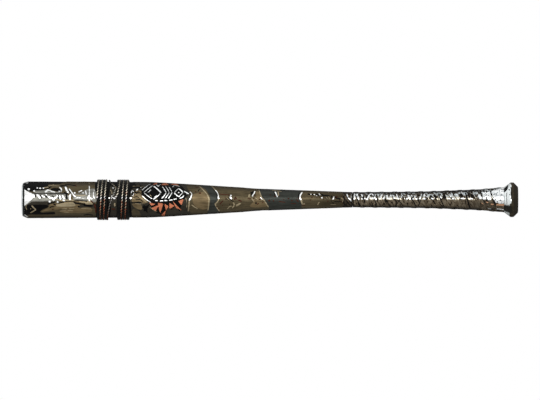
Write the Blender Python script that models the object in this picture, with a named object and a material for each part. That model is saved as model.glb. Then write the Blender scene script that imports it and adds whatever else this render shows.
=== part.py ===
"""Aluminium baseball bat with two black straps round its barrel, each bound with steel wire.

Metres. The origin is the centre of the knob's flat end. The bat lies along -X from there, and +Z is up.
"Along" is a distance from the knob's end towards the tip. An angle round the bat is 0 at the front (-Y)
and grows upwards.
"""

import math

import bmesh
import bpy
import numpy as np

# Lengths of the bat's stretches, from the knob towards the tip
KNOB_END_CHAMFER = 0.0078
KNOB_RIM_LENGTH = 0.0053
KNOB_CONE_LENGTH = 0.0113
NECK_LENGTH = 0.0090
FLARE_LENGTH = 0.0290
PALM_LENGTH = 0.0980
FINGER_LENGTH = 0.1150
WAIST_LENGTH = 0.0190
HANDLE_LENGTH = 0.1620
CREASE_LENGTH = 0.0280
TAPER_LENGTH = 0.1520
BARREL_LENGTH = 0.2163
MOUTH_ROUNDING = 0.0057

# Outside diameters where those stretches meet
KNOB_DIAMETER = 0.0602
NECK_DIAMETER = 0.0435
FLARE_TOP_DIAMETER = 0.0430
FLARE_FOOT_DIAMETER = 0.0370
PALM_DIAMETER = 0.0293
WAIST_DIAMETER = 0.0271
CREASE_FOOT_DIAMETER = 0.0389
CREASE_TOP_DIAMETER = 0.0436
SHOULDER_DIAMETER = 0.0621
TIP_DIAMETER = 0.0643
MOUTH_DIAMETER = 0.0609

# How far each corner of the outline is rounded to either side
FLARE_TOP_REACH = 0.006
FLARE_FOOT_REACH = 0.012
PALM_REACH = 0.025
WAIST_REACH = 0.010
CREASE_REACH = 0.006
SHOULDER_REACH = 0.018

# The drawn tube
WALL = 0.0023
LIP_DEPTH = 0.0035
LIP_LENGTH = 0.0035
LIP_RELIEF = 0.0060
GRIP_STEP_LENGTH = 0.0020

# End cap and gasket
CAP_RIM_DIAMETER = 0.0574
CAP_RIM_THICKNESS = 0.0012
CAP_DOME_HEIGHT = 0.0017
CAP_PLATE = 0.0030
SPIGOT_LENGTH = 0.0180
SPIGOT_WALL = 0.0022
SNAP_HEIGHT = 0.0012
SNAP_LENGTH = 0.0025
SNAP_COUNT = 2
GASKET_THICKNESS = 0.0021
GASKET_OUTER_DIAMETER = 0.0600

# Foam plugs
BARREL_FOAM_LENGTH = 0.0500
HANDLE_FOAM_LENGTH = 0.0600
HANDLE_FOAM_FROM_KNOB = 0.0300
FOAM_CHAMFER = 0.0020

# Knob
KNOB_FLOOR = 0.0090
VENT_DIAMETER = 0.0160
PLUG_FLANGE_DIAMETER = 0.0210
PLUG_FLANGE_THICKNESS = 0.0022
PLUG_BARB_HEIGHT = 0.0010
PLUG_BARB_LENGTH = 0.0030
WELD_GROOVE = 0.0015

# Grip
GRIP_LENGTH = 0.2634
COLLAR_LENGTH = 0.0145
UNDERWRAP_THICKNESS = 0.0005
WRAP_THICKNESS = 0.0011
WRAP_LAP = 0.0005
WRAP_PITCH = 0.0226
WRAP_OVERLAP = 0.0054
WRAP_SETTLE = 0.0040

# Straps under the wire: each strap's edge nearer the mouth, its width, and the fall of a wire past its edge
STRAP_THICKNESS = 0.0014
STRAP_BEVEL = 0.0004
STRAP_FALL = 0.0040
TIP_STRAP_FROM_MOUTH = 0.1260
TIP_STRAP_WIDTH = 0.0179
GRIP_STRAP_FROM_MOUTH = 0.1609
GRIP_STRAP_WIDTH = 0.0211

# Wire bands: the first row's place on the bat's top, and where round the bat the wire starts and ends, in
# degrees. Above 1, the lateness moves each turn's step across the front upwards.
WIRE_DIAMETER = 0.0022
TIP_BAND_FROM_MOUTH = 0.1291
TIP_BAND_PITCH = 0.00653
TIP_BAND_START = 2
TIP_BAND_END = 990
GRIP_BAND_FROM_MOUTH = 0.1658
GRIP_BAND_PITCH = 0.00688
GRIP_BAND_START = 45
GRIP_BAND_END = 935
STEP_LATENESS = 1.2
FRONT_SHARE = 0.72

# Clearance between pieces that touch on the real bat
FIT = 0.0003

# How finely round shapes are divided
SIDES = 48
GRIP_SIDES = 32
CORNER_STEPS = 2
MOUTH_STEPS = 5
DOME_STEPS = 3
POINTS_PER_TURN = 24
MERGE = 1e-7

# Places along the bat that follow from those sizes
RIM_FOOT = KNOB_END_CHAMFER
RIM_TOP = RIM_FOOT + KNOB_RIM_LENGTH
KNOB_TOP = RIM_TOP + KNOB_CONE_LENGTH
FLARE_TOP = KNOB_TOP + NECK_LENGTH
FLARE_FOOT = FLARE_TOP + FLARE_LENGTH
PALM = FLARE_FOOT + PALM_LENGTH
WAIST_FOOT = PALM + FINGER_LENGTH
WAIST_TOP = WAIST_FOOT + WAIST_LENGTH
CREASE_FOOT = WAIST_TOP + HANDLE_LENGTH
CREASE_TOP = CREASE_FOOT + CREASE_LENGTH
SHOULDER = CREASE_TOP + TAPER_LENGTH
BARREL_TOP = SHOULDER + BARREL_LENGTH
MOUTH = BARREL_TOP + MOUTH_ROUNDING
GASKET_FOOT = MOUTH + FIT
CAP_FOOT = GASKET_FOOT + GASKET_THICKNESS + FIT
CAP_RIM_TOP = CAP_FOOT + CAP_RIM_THICKNESS
TIP = CAP_RIM_TOP + CAP_DOME_HEIGHT
TUBE_FOOT = KNOB_FLOOR + FIT
GRIP_FOOT = KNOB_TOP + FIT
GRIP_TOP = GRIP_FOOT + GRIP_LENGTH
COLLAR_FOOT = GRIP_TOP + FIT
COLLAR_TOP = COLLAR_FOOT + COLLAR_LENGTH
STEP_FOOT = COLLAR_TOP + FIT
STEP_TOP = STEP_FOOT + GRIP_STEP_LENGTH
GRIP_STACK = FIT + UNDERWRAP_THICKNESS + FIT + WRAP_THICKNESS
SOCKET_RADIUS = NECK_DIAMETER / 2 - GRIP_STACK + FIT
BARREL_BORE = TIP_DIAMETER / 2 - WALL
LIP_RADIUS = BARREL_BORE - LIP_DEPTH
SPIGOT_RADIUS = LIP_RADIUS - FIT
SPIGOT_FOOT = CAP_FOOT - SPIGOT_LENGTH

# The straps: from the mouth to the near edge, and width
STRAPS = (
    (TIP_STRAP_FROM_MOUTH, TIP_STRAP_WIDTH),
    (GRIP_STRAP_FROM_MOUTH, GRIP_STRAP_WIDTH),
)

# The outline's corners: place along the bat, diameter and how far the corner is rounded
OUTLINE = (
    (KNOB_TOP, NECK_DIAMETER, 0.0),
    (FLARE_TOP, FLARE_TOP_DIAMETER, FLARE_TOP_REACH),
    (FLARE_FOOT, FLARE_FOOT_DIAMETER, FLARE_FOOT_REACH),
    (PALM, PALM_DIAMETER, PALM_REACH),
    (WAIST_FOOT, WAIST_DIAMETER, WAIST_REACH),
    (WAIST_TOP, WAIST_DIAMETER, WAIST_REACH),
    (CREASE_FOOT, CREASE_FOOT_DIAMETER, CREASE_REACH),
    (CREASE_TOP, CREASE_TOP_DIAMETER, CREASE_REACH),
    (SHOULDER, SHOULDER_DIAMETER, SHOULDER_REACH),
    (BARREL_TOP, TIP_DIAMETER, 0.0),
)


def clear_scene():
    for thing in list(bpy.data.objects):
        bpy.data.objects.remove(thing, do_unlink=True)


def finish(name, colour, metallic, roughness):
    """A Principled material of one colour, for one piece."""
    material = bpy.data.materials.new(name)
    material.use_nodes = True
    shader = material.node_tree.nodes["Principled BSDF"]
    shader.inputs["Base Color"].default_value = (*colour, 1.0)
    shader.inputs["Metallic"].default_value = metallic
    shader.inputs["Roughness"].default_value = roughness
    material.diffuse_color = (*colour, 1.0)
    return material


def add_object(name, data, material):
    thing = bpy.data.objects.new(name, data)
    data.materials.append(material)
    bpy.context.scene.collection.objects.link(thing)
    return thing


def mesh_object(name, bm, material, crease_angle=math.radians(30)):
    """Turns finished faces into an object, outward and shaded smooth but for its sharp edges."""
    bmesh.ops.recalc_face_normals(bm, faces=bm.faces[:])
    mesh = bpy.data.meshes.new(name)
    bm.to_mesh(mesh)
    bm.free()
    mesh.shade_smooth()
    mesh.set_sharp_from_angle(angle=crease_angle)
    return add_object(name, mesh, material)


def turned(name, section, material, sides=SIDES):
    """A round piece: its section, as (along, radius) points, spun round the bat's axis.

    A section that starts and ends on the axis is solid; any other closes on itself and leaves a bore.
    """
    bm = bmesh.new()
    verts = [bm.verts.new((-along, 0.0, radius)) for along, radius in section]
    solid = section[0][1] == 0.0 and section[-1][1] == 0.0
    ends = verts[1:] if solid else verts[1:] + verts[:1]
    edges = [bm.edges.new(pair) for pair in zip(verts, ends)]
    bmesh.ops.spin(bm, geom=verts + edges, axis=(1, 0, 0), angle=math.tau, steps=sides)
    bmesh.ops.remove_doubles(bm, verts=bm.verts[:], dist=MERGE)
    return mesh_object(name, bm, material)


def rounded_outline(corners):
    """The outline as (along, radius) points, each inner corner rounded by a parabola."""
    points = [(corners[0][0], corners[0][1] / 2)]
    for before, corner, after in zip(corners, corners[1:], corners[2:]):
        room = 0.49 * min(corner[0] - before[0], after[0] - corner[0])
        reach = min(corner[2], room)
        slope_in = (corner[1] - before[1]) / (corner[0] - before[0])
        slope_out = (after[1] - corner[1]) / (after[0] - corner[0])
        for step in range(CORNER_STEPS + 1):
            share = step / CORNER_STEPS
            along = corner[0] + reach * (2 * share - 1)
            drop = slope_in * (1 - share) ** 2 - slope_out * share**2
            points.append((along, (corner[1] - reach * drop) / 2))
    points.append((corners[-1][0], corners[-1][1] / 2))
    return points


SKIN = rounded_outline(OUTLINE)


def skin_radius(along):
    """Radius of the bat's outside: the bare tube, or the grip where there is one."""
    return float(np.interp(along, *zip(*SKIN)))


def skin_line(low, high, inward):
    """The outline from low to high, set inward by a depth, as (along, radius) points."""
    places = [low] + [along for along, _ in SKIN if low < along < high] + [high]
    return [(along, skin_radius(along) - inward) for along in places]


def tube_outside():
    """The bare tube's outside from the knob's socket up to the barrel's top."""
    neck = skin_radius(KNOB_TOP) - GRIP_STACK
    handle = skin_line(KNOB_TOP, STEP_FOOT, GRIP_STACK)
    bare = skin_line(STEP_TOP, BARREL_TOP, 0.0)
    return [(TUBE_FOOT, neck)] + handle + bare


def mouth_rounding():
    """The quarter of an ellipse that rolls the barrel's outside in to its mouth."""
    drop = (TIP_DIAMETER - MOUTH_DIAMETER) / 2
    points = []
    for step in range(1, MOUTH_STEPS + 1):
        turn = math.pi / 2 * step / MOUTH_STEPS
        along = BARREL_TOP + MOUTH_ROUNDING * math.sin(turn)
        points.append((along, TIP_DIAMETER / 2 - drop * (1 - math.cos(turn))))
    return points


def tube_bore():
    """The bore from the lip inside the mouth back down to the tube's foot."""
    relief = MOUTH - LIP_LENGTH - LIP_RELIEF
    corners = [(along, across / 2) for along, across, _ in OUTLINE]
    bare = [(along, radius - WALL) for along, radius in corners if STEP_TOP < along < relief]
    handle = [
        (along, radius - GRIP_STACK - WALL) for along, radius in corners if along < STEP_FOOT
    ]
    foot = (TUBE_FOOT, skin_radius(KNOB_TOP) - GRIP_STACK - WALL)
    step_low = (STEP_FOOT, skin_radius(STEP_FOOT) - GRIP_STACK - WALL)
    step_high = (STEP_TOP, skin_radius(STEP_TOP) - WALL)
    upward = [foot] + handle + [step_low, step_high] + bare
    lip = [(relief, BARREL_BORE), (MOUTH - LIP_LENGTH, LIP_RADIUS), (MOUTH, LIP_RADIUS)]
    return (upward + lip)[::-1]


def make_barrel_shell():
    material = finish("worn_bright_aluminium", (0.28, 0.26, 0.19), 0.9, 0.35)
    section = tube_outside() + mouth_rounding() + tube_bore()
    return turned("barrel_shell", section, material)


def snap_ridges():
    """The ridges behind the lip that hold the cap's spigot, from the lip towards the foot."""
    points = []
    crest = SPIGOT_RADIUS + SNAP_HEIGHT
    along = MOUTH - LIP_LENGTH - LIP_RELIEF * SNAP_HEIGHT / LIP_DEPTH
    for _ in range(SNAP_COUNT):
        points.append((along, SPIGOT_RADIUS))
        points.append((along - FIT, crest))
        points.append((along - SNAP_LENGTH, SPIGOT_RADIUS))
        along -= SNAP_LENGTH + FIT
    return points


def cap_dome():
    """The cap's domed face from its rim to the axis."""
    rim = CAP_RIM_DIAMETER / 2
    points = []
    for step in range(DOME_STEPS + 1):
        turn = math.pi / 2 * step / DOME_STEPS
        points.append((CAP_RIM_TOP + CAP_DOME_HEIGHT * math.sin(turn), rim * math.cos(turn)))
    points[-1] = (TIP, 0.0)
    return points


def make_end_cap():
    material = finish("cast_cap_grey", (0.45, 0.50, 0.53), 0.6, 0.35)
    cup = SPIGOT_RADIUS - SPIGOT_WALL
    floor = CAP_RIM_TOP - CAP_PLATE
    underside = [(floor, 0.0), (floor, cup), (SPIGOT_FOOT, cup), (SPIGOT_FOOT, SPIGOT_RADIUS)]
    flange = [(CAP_FOOT, SPIGOT_RADIUS), (CAP_FOOT, CAP_RIM_DIAMETER / 2)]
    section = underside + snap_ridges()[::-1] + flange + cap_dome()
    return turned("end_cap", section, material)


def make_cap_gasket():
    material = finish("black_rubber_gasket", (0.010, 0.010, 0.011), 0.0, 0.6)
    inner = SPIGOT_RADIUS + FIT
    top = GASKET_FOOT + GASKET_THICKNESS
    section = [
        (GASKET_FOOT, inner),
        (GASKET_FOOT, GASKET_OUTER_DIAMETER / 2),
        (top, (GASKET_OUTER_DIAMETER + CAP_RIM_DIAMETER) / 4),
        (top, inner),
    ]
    return turned("cap_gasket", section, material)


def foam_section(foot, top, radius_at):
    """A foam rod between two places, chamfered at both ends and as wide there as its bore lets it be."""
    low = radius_at(foot)
    high = radius_at(top)
    return [
        (foot, 0.0),
        (foot, low - FOAM_CHAMFER),
        (foot + FOAM_CHAMFER, low),
        (top - FOAM_CHAMFER, high),
        (top, high - FOAM_CHAMFER),
        (top, 0.0),
    ]


def make_barrel_foam():
    """The plug pressed in behind the cap: it fills the bore, which narrows a little towards the grip."""
    top = SPIGOT_FOOT - FIT
    foot = top - BARREL_FOAM_LENGTH
    material = finish("charcoal_foam", (0.05, 0.05, 0.055), 0.0, 0.95)
    narrowest = skin_radius(foot) - WALL - FIT
    return turned("barrel_foam", foam_section(foot, top, lambda _: narrowest), material)


def make_handle_foam():
    """The plug in the handle, tapered as the bore is above the flare."""
    foot = HANDLE_FOAM_FROM_KNOB
    top = foot + HANDLE_FOAM_LENGTH
    bore = [(along, across / 2) for along, across, _ in OUTLINE]

    def radius_at(along):
        return float(np.interp(along, *zip(*bore))) - GRIP_STACK - WALL - FIT

    inside = [(along, radius_at(along)) for along, _ in bore if foot < along < top]
    section = foam_section(foot, top, radius_at)
    section = section[:3] + inside + section[3:]
    material = finish("cream_foam", (0.55, 0.50, 0.38), 0.0, 0.95)
    return turned("handle_foam", section, material)


def make_knob():
    material = finish("blackened_aluminium_knob", (0.035, 0.032, 0.024), 0.4, 0.55)
    rim = KNOB_DIAMETER / 2
    vent = VENT_DIAMETER / 2
    flange = PLUG_FLANGE_DIAMETER / 2
    shelf = PLUG_FLANGE_THICKNESS + FIT
    section = [
        (0.0, flange),
        (0.0, rim - KNOB_END_CHAMFER),
        (RIM_FOOT, rim),
        (RIM_TOP, rim),
        (KNOB_TOP, NECK_DIAMETER / 2),
        (KNOB_TOP, SOCKET_RADIUS + WELD_GROOVE),
        (KNOB_TOP - WELD_GROOVE, SOCKET_RADIUS),
        (KNOB_FLOOR, SOCKET_RADIUS),
        (KNOB_FLOOR, vent),
        (shelf, vent),
        (shelf, flange),
    ]
    return turned("knob", section, material)


def make_knob_weld():
    """The weld ring that fills the groove between the knob and the tube."""
    material = finish("weld_bead_aluminium", (0.45, 0.45, 0.43), 1.0, 0.45)
    leg = WELD_GROOVE - FIT * math.sqrt(2)
    section = [
        (KNOB_TOP, SOCKET_RADIUS),
        (KNOB_TOP, SOCKET_RADIUS + leg),
        (KNOB_TOP - leg, SOCKET_RADIUS),
    ]
    return turned("knob_weld", section, material)


def make_knob_plug():
    """The plug in the vent hole: flush head, shank, and a barb behind the knob's floor."""
    material = finish("black_rubber_plug", (0.012, 0.012, 0.012), 0.0, 0.65)
    head = PLUG_FLANGE_DIAMETER / 2 - FIT
    shank = VENT_DIAMETER / 2 - FIT
    barb = VENT_DIAMETER / 2 + PLUG_BARB_HEIGHT
    behind = KNOB_FLOOR + FIT
    section = [
        (0.0, 0.0),
        (0.0, head),
        (PLUG_FLANGE_THICKNESS, head),
        (PLUG_FLANGE_THICKNESS, shank),
        (behind, shank),
        (behind, barb),
        (behind + PLUG_BARB_LENGTH, shank - PLUG_BARB_HEIGHT),
        (behind + PLUG_BARB_LENGTH, 0.0),
    ]
    return turned("knob_plug", section, material)


def make_grip_underwrap():
    material = finish("underwrap_tape", (0.12, 0.11, 0.10), 0.0, 0.9)
    inner = GRIP_STACK - FIT
    outside = skin_line(GRIP_FOOT, GRIP_TOP, inner - UNDERWRAP_THICKNESS)
    inside = skin_line(GRIP_FOOT, GRIP_TOP, inner)
    return turned("grip_underwrap", outside + inside[::-1], material, GRIP_SIDES)


def make_grip_collar():
    """The finishing tape between grip and bare handle, flush with both and bevelled to the tube's step."""
    material = finish("dark_finishing_tape", (0.030, 0.027, 0.020), 0.0, 0.5)
    outside = skin_line(COLLAR_FOOT, COLLAR_TOP + GRIP_STEP_LENGTH, 0.0)
    inside = skin_line(COLLAR_FOOT, COLLAR_TOP, GRIP_STACK - FIT)
    return turned("grip_collar", outside + inside[::-1], material, GRIP_SIDES)


def lap_profile():
    """One pitch of the wrap, as (along, height): raised where the tape lies over the turn before."""
    high = WRAP_LAP / 2
    return (
        (0.0, high),
        (WRAP_OVERLAP, high),
        (WRAP_OVERLAP + WRAP_SETTLE, -high),
        (WRAP_PITCH, -high),
    )


def add_lapped_turns(bm):
    """The lapped tape's outside, a turn longer than the grip at both ends, as a closed solid."""
    profile = lap_profile()
    first = GRIP_FOOT - 2 * WRAP_PITCH
    turns = math.ceil(GRIP_LENGTH / WRAP_PITCH) + 3
    rows = []
    for step in range(turns * GRIP_SIDES + 1):
        angle = math.tau * step / GRIP_SIDES
        row = []
        for across, height in profile:
            along = first + WRAP_PITCH * step / GRIP_SIDES + across
            radius = skin_radius(along) + height
            row.append(bm.verts.new(point_on(along, radius, angle)))
        rows.append(row)
    for row, after in zip(rows, rows[1:]):
        for near in range(len(profile) - 1):
            bm.faces.new((row[near], after[near], after[near + 1], row[near + 1]))
    for step in range(len(rows) - GRIP_SIDES - 1):
        edge = (rows[step][-1], rows[step + 1][-1])
        lip = (rows[step + GRIP_SIDES + 1][0], rows[step + GRIP_SIDES][0])
        bm.faces.new((*edge, *lip))
    foot_loop = [row[0] for row in rows[: GRIP_SIDES + 1]] + rows[0][:0:-1]
    top_loop = [row[-1] for row in rows[-GRIP_SIDES - 1 :]] + rows[-1][-2::-1]
    add_fan(bm, foot_loop, (-first, 0.0, 0.0))
    add_fan(bm, top_loop, (-(first + WRAP_PITCH * (turns + 1)), 0.0, 0.0))


def add_fan(bm, loop, apex):
    tip = bm.verts.new(apex)
    for a, b in zip(loop, loop[1:] + loop[:1]):
        bm.faces.new((a, b, tip))


def point_on(along, radius, angle):
    return (-along, -radius * math.cos(angle), radius * math.sin(angle))


def add_cutter(target, cutter, operation):
    """Cuts the target with a helper that stays out of the build."""
    cutter.hide_render = True
    cutter.display_type = "WIRE"
    cut = target.modifiers.new(cutter.name, "BOOLEAN")
    cut.operation = operation
    cut.solver = "EXACT"
    cut.object = cutter


def make_grip_wrap():
    """The tape wound from the knob upwards, each turn lapped over the one before, cut square at both ends."""
    material = finish("crinkled_grip_tape", (0.105, 0.083, 0.058), 0.3, 0.4)
    bm = bmesh.new()
    add_lapped_turns(bm)
    wrap = mesh_object("grip_wrap", bm, material)
    widest = KNOB_DIAMETER
    ends = [(GRIP_FOOT, 0.0), (GRIP_FOOT, widest), (GRIP_TOP, widest), (GRIP_TOP, 0.0)]
    add_cutter(wrap, turned("wrap_ends_gauge", ends, material, GRIP_SIDES), "INTERSECT")
    past = WRAP_PITCH
    bore = skin_line(GRIP_FOOT, GRIP_TOP, WRAP_THICKNESS)
    section = (
        [(GRIP_FOOT - past, 0.0), (GRIP_FOOT - past, bore[0][1])]
        + bore
        + [(GRIP_TOP + past, bore[-1][1]), (GRIP_TOP + past, 0.0)]
    )
    add_cutter(wrap, turned("wrap_bore_gauge", section, material, GRIP_SIDES), "DIFFERENCE")
    return wrap


def make_strap(name, from_mouth, width):
    """A flat black strap round the barrel, bevelled at its edges."""
    top = MOUTH - from_mouth
    foot = top - width
    inner = skin_line(foot, top, -FIT)
    outer = skin_line(foot + STRAP_BEVEL, top - STRAP_BEVEL, -FIT - STRAP_THICKNESS)
    edges = skin_line(foot, top, STRAP_BEVEL - FIT - STRAP_THICKNESS)
    material = finish(name + "_black_rubber", (0.012, 0.012, 0.012), 0.0, 0.6)
    return turned(name, inner[::-1] + edges[:1] + outer + edges[-1:], material)


def strap_lift(along):
    """How far the straps raise the wire, which falls to the skin once it is clear of a strap's edge."""
    lift = 0.0
    for from_mouth, width in STRAPS:
        top = MOUTH - from_mouth
        past = max(along - top, top - width - along) - WIRE_DIAMETER / 2 - FIT
        fall = min(max(past / STRAP_FALL, 0.0), 1.0)
        lift = max(lift, 1 - fall * fall * (3 - 2 * fall))
    return lift * (FIT + STRAP_THICKNESS)


def wire_point(along, angle):
    """A point of the wire's centre line, far enough out for its straight facets to clear what it lies on."""
    centre = skin_radius(along) + strap_lift(along) + FIT + WIRE_DIAMETER / 2
    return point_on(along, centre / math.cos(math.pi / POINTS_PER_TURN), angle)


def front_advance(angle):
    """The pitches stepped since the first row's top: most of each on the front, and the rest behind."""
    turns, rest = divmod(angle + math.pi / 2, math.tau)
    share = min(rest / math.pi, 1.0) ** STEP_LATENESS
    behind = max(rest / math.pi - 1.0, 0.0)
    step = FRONT_SHARE * share * share * (3 - 2 * share) + (1 - FRONT_SHARE) * behind
    return turns + step - FRONT_SHARE


def band_turns(first_row, pitch, start, end):
    """The wound part of a band between two places round the bat. Its rows step towards the grip."""
    start_angle = math.radians(start)
    end_angle = math.radians(end)
    steps = round((end_angle - start_angle) / math.tau * POINTS_PER_TURN)
    points = []
    for step in range(steps + 1):
        angle = start_angle + (end_angle - start_angle) * step / steps
        points.append((first_row - pitch * front_advance(angle), angle))
    return points


def loose_end(wound, steps):
    """A loose end that leaves the wound part: (towards the grip, round the barrel) steps, drawn smooth."""
    line = [wound]
    for advance, turn in steps:
        along, angle = line[-1]
        line.append((along - advance, angle + math.radians(turn)))
    places = np.linspace(0, len(steps), 2 * len(steps) + 1)
    return [tuple(through(line, place)) for place in places[1:]]


def through(line, place):
    """A point of the smooth curve through a line's points."""
    span = min(int(place), len(line) - 2)
    t = place - span
    a, b, c, d = (
        np.array(line[min(max(span + step, 0), len(line) - 1)]) for step in (-1, 0, 1, 2)
    )
    return 0.5 * (
        2 * b + (c - a) * t + (2 * a - 5 * b + 4 * c - d) * t**2 + (3 * b - a - 3 * c + d) * t**3
    )


def least_self_gap(points, wire):
    """The smallest gap between stretches of one wire that aren't next to each other along it."""
    spots = np.array(points)
    least = math.inf
    for index in range(len(spots)):
        others = spots[index + POINTS_PER_TURN // 4 :]
        if len(others):
            least = min(least, float(np.linalg.norm(others - spots[index], axis=1).min()))
    return least - wire


def wire_object(name, route):
    """One unbroken wire along a route of (along, angle) points."""
    material = finish(name + "_rusty_steel", (0.17, 0.13, 0.10), 0.7, 0.55)
    points = [wire_point(along, angle) for along, angle in route]
    gap = least_self_gap(points, WIRE_DIAMETER)
    print(f"{name}: {len(points)} points, least gap to itself {gap * 1000:.2f} mm")
    curve = bpy.data.curves.new(name, "CURVE")
    curve.dimensions = "3D"
    curve.bevel_depth = WIRE_DIAMETER / 2
    curve.bevel_resolution = 1
    curve.use_fill_caps = True
    spline = curve.splines.new("POLY")
    spline.points.add(len(points) - 1)
    for slot, point in zip(spline.points, points):
        slot.co = (*point, 1.0)
    return add_object(name, curve, material)


def make_tip_band():
    """The band nearer the tip. Its last turn leaves as a tail that crosses the front and hooks back."""
    first_row = MOUTH - TIP_BAND_FROM_MOUTH
    turns = band_turns(first_row, TIP_BAND_PITCH, TIP_BAND_START, TIP_BAND_END)
    hook = (
        (0.0004, 30),
        (0.0014, 22),
        (0.0026, 23),
        (0.0042, 22),
        (0.0055, 27),
        (-0.0062, 22),
        (-0.0034, 18),
        (-0.0014, 20),
    )
    wire_object("wire_band_tip", turns + loose_end(turns[-1], hook))


def make_grip_band():
    """The band nearer the grip. Its first turn starts from a loose end that leaves the strap on the front."""
    first_row = MOUTH - GRIP_BAND_FROM_MOUTH
    turns = band_turns(first_row, GRIP_BAND_PITCH, GRIP_BAND_START, GRIP_BAND_END)
    lead = ((-0.0016, -15), (-0.0014, -14), (-0.0031, -8), (-0.0026, -6))
    wire_object("wire_band_grip", loose_end(turns[0], lead)[::-1] + turns)


def make_bat():
    clear_scene()
    make_barrel_shell()
    make_end_cap()
    make_cap_gasket()
    make_barrel_foam()
    make_handle_foam()
    make_knob()
    make_knob_weld()
    make_knob_plug()
    make_grip_underwrap()
    make_grip_wrap()
    make_grip_collar()
    make_strap("strap_tip", TIP_STRAP_FROM_MOUTH, TIP_STRAP_WIDTH)
    make_strap("strap_grip", GRIP_STRAP_FROM_MOUTH, GRIP_STRAP_WIDTH)
    make_tip_band()
    make_grip_band()


make_bat()
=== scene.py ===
import math

import bmesh
import bpy
import numpy as np
from bpy.props import FloatProperty, FloatVectorProperty, IntProperty, PointerProperty
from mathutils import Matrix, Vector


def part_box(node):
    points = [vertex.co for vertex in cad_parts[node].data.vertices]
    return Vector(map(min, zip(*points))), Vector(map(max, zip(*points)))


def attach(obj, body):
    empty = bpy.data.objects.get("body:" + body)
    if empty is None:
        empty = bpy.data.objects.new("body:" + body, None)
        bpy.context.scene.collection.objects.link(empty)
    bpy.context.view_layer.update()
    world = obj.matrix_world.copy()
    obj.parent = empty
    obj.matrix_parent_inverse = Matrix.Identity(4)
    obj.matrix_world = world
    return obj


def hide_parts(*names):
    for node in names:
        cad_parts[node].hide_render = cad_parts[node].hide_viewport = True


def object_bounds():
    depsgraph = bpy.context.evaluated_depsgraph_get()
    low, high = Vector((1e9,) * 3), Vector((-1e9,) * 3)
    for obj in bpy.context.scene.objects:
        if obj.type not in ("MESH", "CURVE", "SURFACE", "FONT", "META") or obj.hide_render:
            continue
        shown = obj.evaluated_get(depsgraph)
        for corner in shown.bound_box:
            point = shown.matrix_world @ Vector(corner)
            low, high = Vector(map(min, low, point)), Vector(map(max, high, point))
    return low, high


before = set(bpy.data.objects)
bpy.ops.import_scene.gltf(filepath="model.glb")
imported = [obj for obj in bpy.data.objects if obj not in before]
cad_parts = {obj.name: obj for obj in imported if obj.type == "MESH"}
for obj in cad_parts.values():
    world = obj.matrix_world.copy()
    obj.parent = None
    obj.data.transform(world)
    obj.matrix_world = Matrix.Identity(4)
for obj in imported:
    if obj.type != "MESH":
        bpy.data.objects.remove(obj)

bl_info = {
    "name": "Worn aluminium bat",
    "version": (1, 0, 0),
    "blender": (4, 5, 0),
    "location": "3D View > Sidebar > Bat",
    "description": "Dresses the bat's solids with paint, tape, wire and wear, and sets up a plain studio",
    "category": "Object",
}

# Sizes are in metres and follow the solids' frame: the bat lies along X, its knob's end face at
# zero and its tip at the low end, with Z up and the picture's camera looking along +Y.
MM = 0.001
LOW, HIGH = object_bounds()
TIP = LOW.x
MIDDLE = (LOW.x + HIGH.x) / 2
FLOOR_HEIGHT = LOW.z
GRIP_FOOT = -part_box("grip_wrap")[1].x
GRIP_TOP = -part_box("grip_wrap")[0].x

# The clearance between neighbours, the tape's thickness and where the bare tube begins, as in the
# solids.
FIT = 0.0003
TAPE_THICKNESS = 0.0011
BARE_FOOT = -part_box("grip_collar")[0].x + FIT

# How near doubled points lie, the least rise of a slope, how far a cut passes from the axis, and
# the area, in square metres, up to which three points of an outline count as straight.
MERGE = 2e-6
SLIVER = 1e-7
SLICE = 1e-5
STRAIGHT = 1e-9

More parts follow.
